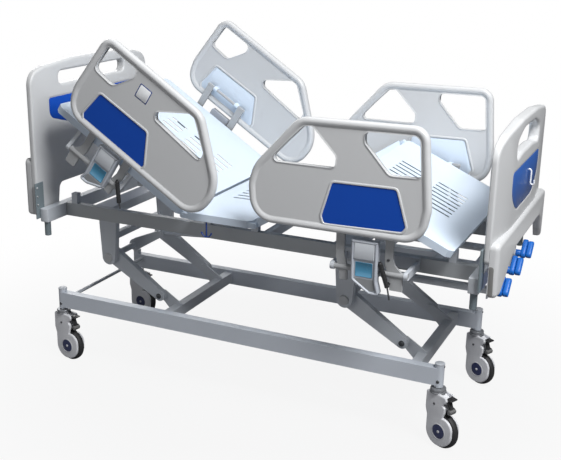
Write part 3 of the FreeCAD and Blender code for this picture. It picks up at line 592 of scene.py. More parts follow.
@dataclass
class Studio:
    """Pale floor and backdrop, soft lights, and the camera at the photograph's place."""

    azimuth: float = 24.506
    elevation: float = 17.375
    roll: float = 1.009
    distance: float = 4.2196
    target: tuple[float, float, float] = (0.0628 - MIDDLE_X, 0.0, 0.6838)
    lens: float = 61.16

    def camera(self) -> None:
        """Place the camera on a sphere about its target and turn it by its roll."""
        az, el, roll = (math.radians(v) for v in (self.azimuth, self.elevation, self.roll))
        back = Vector((math.sin(az) * math.cos(el), -math.cos(az) * math.cos(el), math.sin(el)))
        right = Vector((math.cos(az), math.sin(az), 0.0))
        up = back.cross(right)
        across = right * math.cos(roll) + up * math.sin(roll)
        upward = up * math.cos(roll) - right * math.sin(roll)
        place = Vector(self.target) + back * self.distance
        data = bpy.data.cameras.new("camera")
        data.lens = self.lens
        data.sensor_width = 36.0
        data.clip_start = 0.05
        data.clip_end = 80.0
        made = bpy.data.objects.new("camera", data)
        rows = [(across[i], upward[i], back[i], place[i]) for i in range(3)]
        made.matrix_world = Matrix((*rows, (0, 0, 0, 1)))
        bpy.context.scene.collection.objects.link(made)
        bpy.context.scene.camera = made

    def floor(self) -> None:
        """Lay one large pale sheet that shows white to the camera and keeps a soft shadow."""
        span = 14.0
        mesh = bpy.data.meshes.new("floor")
        mesh.from_pydata([(-span, -span, 0), (span, -span, 0), (span, span, 0), (-span, span, 0)], [],
                         [[0, 1, 2, 3]])
        made = bpy.data.objects.new("floor", mesh)
        bpy.context.scene.collection.objects.link(made)
        paint = bpy.data.materials.new("floor paint")
        paint.use_nodes = True
        tree = paint.node_tree
        shader = tree.nodes["Principled BSDF"]
        set_inputs(shader, Base_Color=(0.22, 0.22, 0.23, 1), Roughness=0.9, Specular_IOR_Level=0.1)
        where = added(tree, "TexCoord")
        noise = added(tree, "TexNoise", Scale=60.0)
        bump = added(tree, "Bump", Strength=0.02)
        glow = added(tree, "Emission", Strength=1.0)
        path = added(tree, "LightPath")
        mix = added(tree, "MixShader")
        share = added(tree, "Math")
        share.operation = "MULTIPLY"
        reach = added(tree, "VectorMath")
        reach.operation = "LENGTH"
        fade = added(tree, "MapRange", From_Min=0.7, From_Max=2.6, To_Min=0.90, To_Max=1.0)
        fade.interpolation_type = "SMOOTHSTEP"
        linked(tree, (where, "Object", noise, "Vector"), (noise, "Fac", bump, "Height"),
               (bump, "Normal", shader, "Normal"), (where, "Object", reach, 0),
               (reach, "Value", fade, "Value"), (fade, "Result", share, 1),
               (path, "Is Camera Ray", share, 0), (share, "Value", mix, "Fac"),
               (shader, "BSDF", mix, 1), (glow, "Emission", mix, 2),
               (mix, "Shader", tree.nodes["Material Output"], "Surface"))
        mesh.materials.append(paint)

    def world(self) -> None:
        """White surroundings for the camera and a calmer grey for the light."""
        world = bpy.data.worlds.new("studio")
        bpy.context.scene.world = world
        world.use_nodes = True
        tree = world.node_tree
        lit = tree.nodes["Background"]
        set_inputs(lit, Color=(0.93, 0.96, 1.0, 1), Strength=0.05)
        seen = added(tree, "Background", Color=(1, 1, 1, 1))
        path = added(tree, "LightPath")
        mix = added(tree, "MixShader")
        either = added(tree, "Math")
        either.operation = "MAXIMUM"
        linked(tree, (path, "Is Camera Ray", either, 0), (path, "Is Transmission Ray", either, 1),
               (either, "Value", mix, "Fac"), (lit, "Background", mix, 1), (seen, "Background", mix, 2),
               (mix, "Shader", tree.nodes["World Output"], "Surface"))

    def lamp(self, name: str, place: tuple[float, float, float], high: float, size: float,
             power: float) -> None:
        """Hang one square soft lamp.

        Args:
            name: name of the lamp.
            place: where it hangs.
            high: the height over the origin that it faces.
            size: its side in metres.
            power: its power in watts.
        """
        data = bpy.data.lights.new(name, "AREA")
        data.size = size
        data.energy = power
        made = bpy.data.objects.new(name, data)
        made.location = place
        made.rotation_euler = (Vector((0.0, 0.0, high)) - Vector(place)).to_track_quat("-Z", "Y").to_euler()
        bpy.context.scene.collection.objects.link(made)

    def build(self) -> None:
        """Set up the whole stage."""
        bpy.context.scene.view_settings.view_transform = "Standard"
        self.camera()
        self.floor()
        self.world()
        self.lamp("key", (2.8, -1.8, 4.45), 0.7, 1.8, 300.0)
        self.lamp("front", (-1.6, -4.8, 1.6), 0.6, 2.4, 26.0)
        self.lamp("top", (-0.6, 0.6, 4.8), 0.7, 2.6, 55.0)
        self.lamp("back", (-3.4, 3.0, 2.3), 0.7, 2.8, 80.0)


@dataclass
class Steelwork:
    """CAD nodes that keep their shape and get rounded edges and a coat."""

    rounds: dict[str, float] = field(default_factory=lambda: {
        "base_side_frames": 0.003, "base_crossmembers": 0.0025, "upper_side_rails": 0.003,
        "upper_crossmembers": 0.0025, "hanging_brackets": 0.0025, "lift_arms_head": 0.003,
        "lift_arms_foot": 0.003, "deck_brackets": 0.0015, "crank_housings": 0.001,
        "board_mount_plates": 0.0015, "rail_mounts_foot": 0.0015, "rail_mounts_head": 0.0015})

    def build(self) -> None:
        """Dress every CAD node, and round the edges of the tubes."""
        slots = {entry["node"]: entry["material_slot"] for entry in frame["record"]["subparts"]}
        bodies = {node: body for body, members in frame["record"]["behaviour"]["bodies"].items()
                  for node in members}
        for node, made in frame["nodes"].items():
            # Painted light and painted shade: lighter and darker copies of the frame coat replace the slot's
            # finish here.
            finish = NODE_LIT_AND_SHADED_COATS.get(node, NODE_FINISHES[slots[node]])
            made.data.materials.clear()
            made.data.materials.append(finish.material())
            if node in self.rounds:
                softened(node, finish, bodies[node], self.rounds[node])


# side rails


@dataclass
class RailMoulding:
    """One folding side rail: blow-moulded shell with a tubular rim, hand windows and an inlay."""

    end: End
    side: Side
    face: float = 0.470
    thick: float = 0.035
    skin: float = 0.0065
    rim: float = 0.030
    lip: float = 0.0020

    @property
    def tag(self) -> str:
        """The name of the rail's corner."""
        return tag_of(self.end, self.side)

    def sizes(self) -> tuple[float, float, float, float]:
        """The outer end's X, the length, the height and the lower edge's Z, in metres.

        Returns:
            The four sizes of this end's rails.
        """
        if self.end is End.FOOT:
            return RAIL_END[self.end], 0.725, 0.432, 0.876
        return RAIL_END[self.end], 0.751, 0.394, 0.883

    def outline(self) -> np.ndarray:
        """The shell's outline as fractions of its length and height, with radii in metres.

        Returns:
            The closed line in the rail's own frame.
        """
        _, long, tall, _ = self.sizes()
        corners = [(0.018, 0.0, 0.100), (0.968, 0.0, 0.095), (1.0, 0.30, 0.130), (0.965, 1.0, 0.060),
                   (0.285, 0.985, 0.090), (0.03, 0.52, 0.150), (0.0, 0.35, 0.120)]
        return rounded_outline([(u * long, w * tall, r) for u, w, r in corners], 14)

    def windows(self) -> list[np.ndarray]:
        """The two hand windows.

        Returns:
            Their closed lines.
        """
        if self.end is End.FOOT:
            two = [[(228, 396, 24), (262, 396, 22), (360, 292, 26), (357, 243, 22), (103, 243, 18),
                    (108, 276, 22)],
                   [(462, 396, 22), (672, 398, 28), (686, 243, 20), (562, 240, 35), (462, 352, 30)]]
        else:
            two = [[(540, 359, 22), (700, 361, 24), (709, 235, 25), (600, 228, 35), (528, 325, 40)],
                   [(232, 356, 24), (262, 358, 22), (390, 268, 20), (374, 235, 22), (125, 219, 20),
                    (126, 262, 20)]]
        return [mm_outline(one) for one in two]

    def inlay(self) -> np.ndarray:
        """The edge of the inlay's recess.

        Returns:
            The closed line.
        """
        if self.end is End.FOOT:
            one = [(347, 191, 14), (592, 194, 14), (633, 60, 12), (620, 41, 12), (318, 33, 12), (309, 60, 14)]
        else:
            one = [(377, 170, 14), (629, 168, 14), (655, 52, 12), (643, 28, 12), (325, 26, 12), (318, 45, 14)]
        return mm_outline(one)

    def place(self, points: np.ndarray) -> np.ndarray:
        """Carry (along, up, depth) from the rail's own frame to the row frame at rest.

        Args:
            points: distance from the bed's middle, height and depth outwards, one row each.

        Returns:
            Points in the row frame.
        """
        far, long, _, low = self.sizes()
        sign = self.end.value
        x = far - sign * (long - points[..., 0])
        y = self.side.value * (self.face + points[..., 2])
        z = low + points[..., 1]
        moved = np.stack([x, y, z], -1)
        return turned_back(moved) if self.end is End.HEAD else moved

    def shell(self) -> None:
        """Rim, panel, window edges and the recesses of both faces, as one closed shell."""
        t, s, w, lip = self.thick, self.skin, self.rim, self.lip
        outer, back = t - s, s
        half = [(w + 0.004, outer - 0.0004), (w + 0.001, outer), (w - 0.0015, outer + 0.0010),
                (w - 0.004, outer + 0.0030), (w - 0.008, outer + 0.0050), (w - 0.0125, t - 0.0004),
                (w * 0.5, t), (0.0095, t - 0.0010), (0.0055, t - 0.0033), (0.0025, t - 0.0068),
                (0.0007, t - 0.0115), (0.0, t / 2)]
        edge = [(-lip - 0.004, outer - 0.0004), (-lip - 0.001, outer), (-lip + 0.002, outer + 0.0012),
                (-lip + 0.0045, outer + 0.0018), (-0.002, outer + 0.0006), (-0.0004, outer - 0.0016),
                (0.0, t / 2)]
        ridge = [(-0.014, outer), (-0.011, outer), (-0.0095, outer + 0.0016), (-0.006, outer + 0.0026),
                 (-0.0025, outer + 0.0020), (-0.0008, outer + 0.0002), (0.0, outer - 0.003)]
        dish = [(d, t - h) for d, h in ridge]
        line, inlay, windows = self.outline(), self.inlay(), self.windows()
        parts = [carried(line, both_ways(half, t), self.place)]
        parts += [carried(one, both_ways(edge, t), self.place) for one in windows]
        parts += [carried(inlay, ridge, self.place), carried(inlay, dish, self.place)]
        holes = [*(shifted(one, -lip - 0.003) for one in windows), shifted(inlay, -0.014)]
        for depth, ledge in ((outer, outer - 0.003), (back, back + 0.003)):
            parts.append(filled(shifted(line, w + 0.003), holes, depth, self.place))
            parts.append(filled(inlay, [], ledge, self.place))
        piece("rail_moulding_" + self.tag, parts, MOULDING, "rail_" + self.tag,
              ("rail_shell_" + self.tag,), 32)

    def back_plate(self) -> None:
        """Steel plate in the inner recess, with the knuckles that hold the swing tube."""
        line = shifted(self.inlay(), 0.003)
        ledge = self.skin + 0.0029
        profile = [(0.0, ledge), (0.0, ledge - 0.0016), (0.0012, ledge - 0.0022)]
        parts = [carried(line, profile, self.place),
                 filled(shifted(line, 0.0012), [], ledge - 0.0022, self.place),
                 filled(line, [], ledge, self.place)]
        piece("rail_plate_" + self.tag, parts, DECK_COAT, "rail_" + self.tag)
        _, long, _, _ = self.sizes()
        middle, radius = np.array((0.080, -0.013)), 0.0104
        angle = np.linspace(0, 2 * math.pi, 25)[:-1]
        ring = middle + radius * np.stack([np.sin(angle), np.cos(angle)], -1)
        ring[:, 1] = np.where(ring[:, 1] > middle[1], np.minimum(ring[:, 1] * 4 + 0.039, 0.0058), ring[:, 1])
        knuckles = []
        for start, stop in ((0.312, 0.333), (0.178, 0.198)):
            rows = []
            for along, scale in ((start, 0.93), (start + 0.0008, 1.0), (stop - 0.0008, 1.0), (stop, 0.93)):
                rows.append(np.column_stack([np.full(24, long - along), (ring - middle) * scale + middle]))
            ends = [rows[0].mean(0)[None].repeat(24, 0), *rows, rows[-1].mean(0)[None].repeat(24, 0)]
            knuckles.append((self.place(np.array(ends)).reshape(-1, 3), grid_faces(6, 24, False, True)))
        piece("rail_knuckles_" + self.tag, knuckles, DECK_COAT, "rail_" + self.tag)

    def sticker(self) -> None:
        """Blank square label with a blue border, on the right head rail."""
        floor = self.thick - self.skin
        for inset, depth, finish, name in ((0.0, 0.0004, HOOK_BLUE, "border"),
                                           (0.004, 0.0008, STICKER, "face")):
            line = rounded_box((0.436 + inset, 0.262 + inset), (0.498 - inset, 0.324 - inset), 0.004, 4)
            top = floor + depth
            parts = [carried(line, [(0.0, top - 0.0006), (0.0, top - 0.0002), (0.0004, top)], self.place),
                     filled(shifted(line, 0.0004), [], top, self.place)]
            piece("sticker_%s_%s" % (name, self.side.name.lower()), parts, finish, "rail_" + self.tag)

    def build(self) -> None:
        """Make the rail's pieces."""
        self.shell()
        self.back_plate()
        if self.end is End.HEAD and self.side is Side.RIGHT:
            self.sticker()


# casters


@dataclass
class Caster:
    """One braked caster: moulded covers, tyre, hub discs, swivel collar and pedal."""

    end: End
    side: Side
    trail: float = 0.035
    radius: float = 0.075
    cover: float = 0.026
    inner: float = 0.016

    @property
    def tag(self) -> str:
        """The name of the caster's corner."""
        return tag_of(self.end, self.side)

    @property
    def post(self) -> tuple[float, float]:
        """The post's axis in X and Y."""
        return self.end.value * POST_X - MIDDLE_X, self.side.value * POST_Y

    @property
    def axle(self) -> np.ndarray:
        """Unit direction across the wheel."""
        return self.place(np.array((0.0, 0.0, 1.0))) - self.place(np.zeros(3))

    def place(self, points: np.ndarray) -> np.ndarray:
        """Carry (along, up, across) about the post's axis to the row frame, at the caster's heading.

        Args:
            points: points in the caster's own frame.

        Returns:
            Points in the row frame.
        """
        turn = HEADING[self.end]
        x, z, y = points[..., 0], points[..., 1], points[..., 2]
        post_x, post_y = self.post
        return np.stack([post_x + x * math.cos(turn) - y * math.sin(turn),
                         post_y + x * math.sin(turn) + y * math.cos(turn), z], -1)

    def covers(self) -> None:
        """Both cover halves and the crown between them."""
        disc = [(-0.0295, 0.012, 0.060), (0.098, 0.012, 0.0625), (0.098, 0.136, 0.044),
                (0.0490, 0.137, 0.002), (0.0570, 0.160, 0.008), (0.0590, 0.182, 0.006),
                (0.0450, 0.194, 0.006), (0.0600, 0.204, 0.005), (0.0665, 0.2150, 0.004),
                (0.0610, 0.2285, 0.005), (0.0220, 0.2325, 0.010), (-0.0370, 0.2325, 0.008),
                (-0.0380, 0.158, 0.014), (-0.0290, 0.128, 0.020)]
        line = rounded_outline(disc, 16)
        lean = [(0.0, self.inner + 0.0003), (0.0, self.cover - 0.004), (0.0008, self.cover - 0.0018),
                (0.0026, self.cover - 0.0004), (0.0055, self.cover)]
        parts = [pressed(line, [(i, sign * h) for i, h in lean], self.place) for sign in (-1, 1)]
        crown = rounded_outline([(-0.0315, 0.158, 0.004), (0.046, 0.158, 0.003), (0.046, 0.216, 0.004),
                                 (0.019, 0.2305, 0.006), (-0.0315, 0.2305, 0.008)], 5)
        parts.append(pressed(crown, [(0.0, -self.inner), (0.0, self.inner)], self.place))
        piece("caster_cover_" + self.tag, parts, COVER_GREY, "fork_" + self.tag,
              ("caster_fork_" + self.tag,), 35)

    def swivel(self) -> None:
        """Bearing collar and stem above the cover."""
        profile = [(0.0, 0.2285), (0.0325, 0.2285), (0.0330, 0.2330), (0.0318, 0.2348), (0.0300, 0.2352),
                   (0.0300, 0.2392), (0.0312, 0.2400), (0.0312, 0.2450), (0.0296, 0.2475), (0.0180, 0.2490),
                   (0.0109, 0.2490), (0.0109, 0.3240), (0.0, 0.3250)]
        collar = turned_profile(profile, (*self.post, 0.0), (0.0, 0.0, 1.0), 40)
        piece("caster_swivel_" + self.tag, [collar], COLLAR, "fork_" + self.tag)

    def wheel(self) -> None:
        """Tyre with a crowned tread and shoulders, on its rim."""
        r = self.radius
        half = [(0.0062, 0.0148), (0.030, 0.0148), (0.050, 0.0140), (0.0560, 0.0150), (0.0640, 0.0150),
                (0.0680, 0.0142), (0.0712, 0.0122), (0.0735, 0.0092), (0.0746, 0.0050), (r, 0.0)]
        tyre = turned_profile(both_ways(half, 0.0), self.place(np.array((self.trail, r, 0.0))), self.axle, 72)
        piece("caster_tyre_" + self.tag, [tyre], TREAD, "wheel_" + self.tag,
              ("caster_wheel_" + self.tag,), 50)

    def hubs(self) -> None:
        """Bare discs over the axle on both covers, each with a pale ring."""
        ring = [(0.0335, -0.0012), (0.0335, 0.0006), (0.0325, 0.0013), (0.0305, 0.0013), (0.0298, 0.0004),
                (0.0298, -0.0012)]
        disc = [(0.0, 0.0009), (0.0200, 0.0009), (0.0285, 0.0006), (0.0297, 0.0), (0.0297, -0.0012)]
        cap = [(0.0, 0.0026), (0.0040, 0.0026), (0.0056, 0.0018), (0.0060, 0.0004)]
        for name, profile, finish in (("ring", ring, COVER_LIGHT), ("disc", disc, EMBLEM),
                                      ("cap", cap, COVER_LIGHT)):
            parts = []
            for sign in (-1, 1):
                base = self.place(np.array((self.trail, self.radius, sign * self.cover)))
                parts.append(turned_profile(profile, base, sign * self.axle, 40))
            piece("caster_hub_%s_%s" % (name, self.tag), parts, finish, "fork_" + self.tag)

    def screws(self) -> None:
        """One small screw on each side of the crown, two low on the post, and the post's domed cap."""
        spots = {sign: self.place(np.array((0.006, 0.186, sign * self.cover))) for sign in (-1, 1)}
        parts = [bolt(spot, sign * self.axle, 0.0052, 0.0022) for sign, spot in spots.items()]
        piece("caster_screws_" + self.tag, parts, DARK_BOLT, "fork_" + self.tag)
        (x, y), out, way = self.post, self.end.value, self.side.value
        parts = [bolt((x, y + way * 0.0188, 0.277), (0.0, way, 0.0), 0.0068, 0.0026),
                 bolt((x + out * 0.0187, y, 0.338), (out, 0.0, 0.0), 0.0045, 0.0024)]
        piece("post_screws_" + self.tag, parts, DARK_BOLT, "base")
        dome = [(0.0, 0.3546), (0.0090, 0.3542), (0.0160, 0.3526), (0.0196, 0.3502), (0.0200, 0.3470),
                (0.0192, 0.3450), (0.0, 0.3450)]
        cap = turned_profile(dome, (x, y, 0.0), (0.0, 0.0, 1.0), 32)
        piece("post_cap_" + self.tag, [cap], FRAME_COAT, "base")

    def pedal(self) -> None:
        """Brake pedal with rounded edges and a ribbed pad."""
        body = "pedal_" + self.tag
        softened("caster_pedal_" + self.tag, PEDAL_BLACK, body, 0.0018, 40.0)
        line = rounded_outline([(0.050, 0.2140, 0.0015), (0.084, 0.2170, 0.0018), (0.085, 0.2225, 0.0018),
                                (0.058, 0.2245, 0.003)], 5)
        sides = [(0.0008, -0.0185), (0.0, -0.0175), (0.0, 0.0175), (0.0008, 0.0185)]
        piece("pedal_tab_" + self.tag, [pressed(line, sides, self.place)], PEDAL_BLACK, body)
        line = rounded_outline([(0.0655, 0.1600, 0.006), (0.0815, 0.1580, 0.006), (0.0855, 0.1730, 0.006),
                                (0.0760, 0.1815, 0.006), (0.0665, 0.1770, 0.006)], 6)
        ridges = [(0.0018, -0.0170), (0.0, -0.0155)]
        for step in np.linspace(-0.0120, 0.0120, 5):
            ridges += [(0.0, step - 0.0018), (0.0009, step - 0.0012), (0.0009, step + 0.0012),
                       (0.0, step + 0.0018)]
        ridges += [(0.0, 0.0155), (0.0018, 0.0170)]
        piece("pedal_pad_" + self.tag, [pressed(line, ridges, self.place)], PAD_GREY, body)

    def build(self) -> None:
        """Make the caster's pieces."""
        self.covers()
        self.swivel()
        self.wheel()
        self.hubs()
        self.screws()
        self.pedal()


# latch covers of the side rails


@dataclass
class LatchCover:
    """Moulded cover of one side rail's catch: raised flanges, sunk front and a blank label."""

    end: End
    side: Side
    front: float = 0.495
    back: float = 0.465
    tube_plane: float = 0.457

    def place(self, points: np.ndarray) -> np.ndarray:
        """Carry (distance from the rail's outer end, height over the lower pivot, depth) to the row.

        Args:
            points: points in the cover's own frame.

        Returns:
            Points in the row frame.
        """
        low, shift = (0.735, -0.010) if self.end is End.FOOT else (0.742, 0.018)
        x = RAIL_END[self.end] - self.end.value * (points[..., 0] + shift)
        moved = np.stack([x, self.side.value * points[..., 2], low + points[..., 1]], -1)
        return turned_back(moved) if self.end is End.HEAD else moved

    def build(self) -> None:
        """Make the body with its barrel, the brow with painted light, the skirt with painted shade, and the
        label.
        """
        tag = tag_of(self.end, self.side)
        f, b = self.front, self.back
        foot = -0.0830 if self.end is End.FOOT else -0.0655
        line = rounded_outline([(0.1880, foot, 0.012), (0.2320, foot, 0.030), (0.3060, -0.0340, 0.020),
                                (0.3075, 0.1255, 0.004), (0.2025, 0.1255, 0.004),
                                (0.2025, -0.0300, 0.030)], 8)
        body = [(0.0, b), (0.0, f - 0.008), (0.0006, f - 0.004), (0.0022, f - 0.0012), (0.0045, f),
                (0.0080, f), (0.0100, f - 0.0012), (0.0110, f - 0.0040), (0.0115, f - 0.0065)]
        tube = [(0.0122, 0.0), (0.0165, 0.0), (0.0168, 0.001), (0.0168, 0.104), (0.0165, 0.105),
                (0.0122, 0.105)]
        start, one, two = (self.place(np.array((along, 0.0, self.tube_plane)))
                           for along in (0.2025, 0.0, 1.0))
        barrel = turned_profile(tube, start, two - one, 32)
        piece("latch_body_" + tag, [pressed(line, body, self.place), barrel], LATCH_GREY, "latch_" + tag,
              ("rail_latch_" + tag,), 40)
        brow = rounded_outline([(0.2145, 0.052, 0.004), (0.2955, 0.052, 0.004), (0.2955, 0.117, 0.006),
                                (0.2145, 0.117, 0.006)], 5)
        skirt = rounded_outline([(0.2080, foot + 0.014, 0.008), (0.2350, foot + 0.014, 0.020),
                                 (0.2915, -0.0290, 0.006), (0.2950, -0.0240, 0.002),
                                 (0.2165, -0.0240, 0.003)], 6)
        label = rounded_box((0.2215, -0.017), (0.2885, 0.040), 0.003, 5)
        steps = [(0.0, f - 0.0064), (0.0, f - 0.0030), (0.0008, f - 0.0016), (0.0024, f - 0.0010)]
        dome = [(0.0, f - 0.0066), (0.0, f - 0.0056), (0.0005, f - 0.0050), (0.0011, f - 0.0048),
                (0.0016, f - 0.0052)]
        # The brow carries painted light and the skirt painted shade, on the same moulding as the body.
        for name, line, profile, finish in (("brow", brow, steps, LATCH_PAINTED_LIGHT),
                                            ("skirt", skirt, [steps[0], (0.0, f - 0.0058)], LATCH_PAINTED_SHADE),
                                            ("label", label, dome, LABEL_BLUE)):
            piece("latch_%s_%s" % (name, tag), [pressed(line, profile, self.place)], finish, "latch_" + tag)


# boards


@dataclass
class Board:
    """Head or foot board: panel with a hand slot, thicker skirt on two legs, sunk inlay and fittings."""

    end: End
    half: float = 0.450
    arch: float = 0.835
    bow: float = 0.020
    flat: float = 0.18
    sunk: float = 0.0029

    def sizes(self) -> tuple[float, float, float, float, float, float, float, float, float]:
        """X of both faces and of the skirt; top, shoulder drop, slot's top and half, legs' foot, step.

        Returns:
            The nine sizes of this board, in metres.
        """
        if self.end is End.HEAD:
            return -0.980, -1.027, -1.060, 1.395, 0.045, 1.343, 0.255, 0.730, 0.985
        return 0.985, 1.030, 1.060, 1.304, 0.060, 1.262, 0.205, 0.700, 0.905

    def spread(self, points: np.ndarray) -> np.ndarray:
        """Carry (across, up, X) to the row frame, with the outer face bowed.

        The outer face falls back by bow * ((|y| - flat) / (half - flat))^2 beyond its flat middle.

        Args:
            points: points in the board's own frame.

        Returns:
            Points in the row frame.
        """
        inner, outer, *_ = self.sizes()
        across = np.clip((np.abs(points[..., 0]) - self.flat) / (self.half - self.flat), 0.0, 1.0)
        depth = np.clip((points[..., 2] - inner) / (outer - inner), 0.0, 1.0)
        x = points[..., 2] - np.sign(outer - inner) * self.bow * across ** 2 * depth
        return np.stack([x, points[..., 0], points[..., 1]], -1)

    def outlines(self) -> tuple[np.ndarray, np.ndarray, np.ndarray]:
        """Outlines of the panel, of the skirt and of the hand slot.

        Returns:
            The three closed lines.
        """
        _, _, _, top, drop, slot_top, slot_half, legs, step = self.sizes()
        h, arch = self.half, self.arch
        half = [(h * 0.3, top, 0.200), (h * 0.78, top - drop * 0.4, 0.120), (h, top - drop, 0.070)]
        s = slot_half
        if self.end is End.HEAD:
            edge = [(h, legs, 0.018), (h * 0.66, legs, 0.025), (h * 0.62, arch, 0.040)]
            foot = [(h, legs, 0.018), (h * 0.66, legs, 0.025), (h * 0.62, arch + 0.010, 0.030)]
            slot = [(-s, slot_top - 0.055, 0.025), (s, slot_top - 0.055, 0.025), (s, slot_top, 0.025),
                    (-s, slot_top, 0.025)]
        else:
            edge = [(h, legs, 0.018), (h - 0.050, legs, 0.018), (h - 0.100, 0.745, 0.060),
                    (h - 0.150, 0.800, 0.060), (h - 0.220, arch, 0.080)]
            foot = [(h, 0.822, 0.020), (h - 0.170, 0.822, 0.040), (h - 0.220, arch + 0.010, 0.060)]
            slot = [(-s, 1.160, 0.024), (-s * 0.5, 1.173, 0.200), (s * 0.5, 1.173, 0.200), (s, 1.160, 0.024),
                    (s + 0.012, 1.226, 0.032), (s * 0.5, slot_top, 0.240), (-s * 0.5, slot_top, 0.240),
                    (-s - 0.012, 1.226, 0.032)]
        panel = self.mirrored(half + foot)
        skirt = self.mirrored([(h, step, 0.025)] + edge)
        return rounded_outline(panel, 12), rounded_outline(skirt, 12), rounded_outline(slot, 10)

    def mirrored(self, half: Corners) -> Corners:
        """Close an outline with the mirror image of its half."""
        return half + [(-a, b, r) for a, b, r in half[::-1]]

    def inlay(self) -> np.ndarray:
        """The inlay's edge: a shield on each board.

        Returns:
            The closed line.
        """
        if self.end is End.HEAD:
            mm = [(-330, 1150, 40), (-150, 1100, 60), (150, 1100, 60), (330, 1150, 40), (330, 1235, 12),
                  (-330, 1235, 12)]
        else:
            mm = [(-150, 958, 120), (150, 958, 120), (246, 1030, 90), (246, 1118, 14), (-246, 1118, 14),
                  (-246, 1030, 90)]
        return mm_outline(mm, 10)

    def round_edge(self, face: float, way: float, radius: float) -> Profile:
        """Quarter-round profile from the side to the face: inset r(1 - cos a), X face - way r(1 - sin a)."""
        angle = np.linspace(0, math.pi / 2, 7)
        return [(radius * (1 - math.cos(a)), face - way * radius * (1 - math.sin(a))) for a in angle]

    def build(self) -> None:
        """Make the panel, the skirt, the inlay and the slot's edge."""
        inner, outer, skirt_face, *_ = self.sizes()
        sign = 1.0 if outer > inner else -1.0
        panel, skirt, slot = self.outlines()
        inlay = self.inlay()
        blue_face = inner if self.end is End.HEAD else outer
        way = -sign if blue_face == inner else sign
        parts = []
        r, middle = 0.012, (0.0, (inner + outer) / 2)
        for face, out in ((inner, -sign), (outer, sign)):
            curve = self.round_edge(face, out, r)
            parts.append(carried(panel, [middle, *curve], self.spread))
            parts.append(carried(slot, [middle, *((-i, x) for i, x in curve)], self.spread))
            holes = [shifted(slot, -r)]
            if face == blue_face:
                lip = [(-0.010, face), (-0.0075, face + out * 0.0001), (-0.005, face - out * 0.0004),
                       (-0.0025, face - out * 0.0018), (0.0, face - out * self.sunk)]
                parts.append(carried(inlay, lip, self.spread))
                holes.append(shifted(inlay, -0.010))
                parts.append(filled(inlay, [], face - out * self.sunk, self.spread))
            parts.append(filled(shifted(panel, r), holes, face, self.spread))
        name = "headboard" if self.end is End.HEAD else "footboard"
        piece(name + "_panel", parts, MOULDING, "upper_frame", (name,), 32)
        root, soft = outer - sign * 0.004, 0.016
        curve = self.round_edge(skirt_face, sign, soft)
        parts = [carried(skirt, [(0.0, root), *curve], self.spread),
                 filled(shifted(skirt, soft), [], skirt_face, self.spread),
                 filled(skirt, [], root, self.spread)]
        piece(name + "_skirt", parts, MOULDING, "upper_frame", (), 32)
        self.plate(name, inlay, blue_face, way)
        if self.end is End.FOOT:
            self.leg_shade()
            self.hanger()

    def plate(self, name: str, line: np.ndarray, face: float, way: float) -> None:
        """Blue inlay plate in its recess, 0.4 mm below the panel's face.

        Args:
            name: name of the board.
            line: the inlay's edge.
            face: X of the panel's face.
            way: sign of the face's outward direction.
        """
        top = face - way * 0.0004
        edge = [(0.0004, face - way * 0.0026), (0.0004, face - way * 0.0010), (0.0012, top)]
        parts = [carried(line, edge, self.spread), filled(shifted(line, 0.0012), [], top, self.spread)]
        finish, hidden = (INLAY_BLUE, ("board_inlays",)) if self.end is End.HEAD else (POCKET_BLUE, ())
        piece("inlay_" + name, parts, finish, "upper_frame", hidden)

    def leg_shade(self) -> None:
        """Dark flat patch on the outer side of each leg of the footboard: painted shade for the hollow there.
        """
        parts = []
        for sign in (-1, 1):
            line = rounded_outline([(1.029, 0.708, 0.006), (1.012, 0.708, 0.006), (1.009, 0.818, 0.008),
                                    (1.026, 0.832, 0.010)], 5)
            parts.append(pressed(line, [(0.0, self.half - 0.001), (0.0, self.half + 0.0004),
                                        (0.0006, self.half + 0.0007)], CapPlane(sign).place))
        piece("footboard_leg_shade", parts, LEG_SHADE, "upper_frame")

    def hanger(self) -> None:
        """Small clear hook on the footboard's inlay: a rod with its end turned up in a half circle."""
        y, x, low = 0.055, 1.0395, 1.018
        turn = np.radians(np.linspace(180, 360, 11))
        arc = np.column_stack([x + 0.007 + 0.007 * np.cos(turn), np.full(11, y), low + 0.007 * np.sin(turn)])
        path = np.vstack([[(1.0285, y, 1.072), (1.035, y, 1.072), (x, y, 1.066), (x, y, 1.040)], arc,
                          [(x + 0.014, y, low + 0.012)]])
        piece("footboard_hanger", [swept_tube(path, 0.0036)], STICKER, "upper_frame")


# cranks


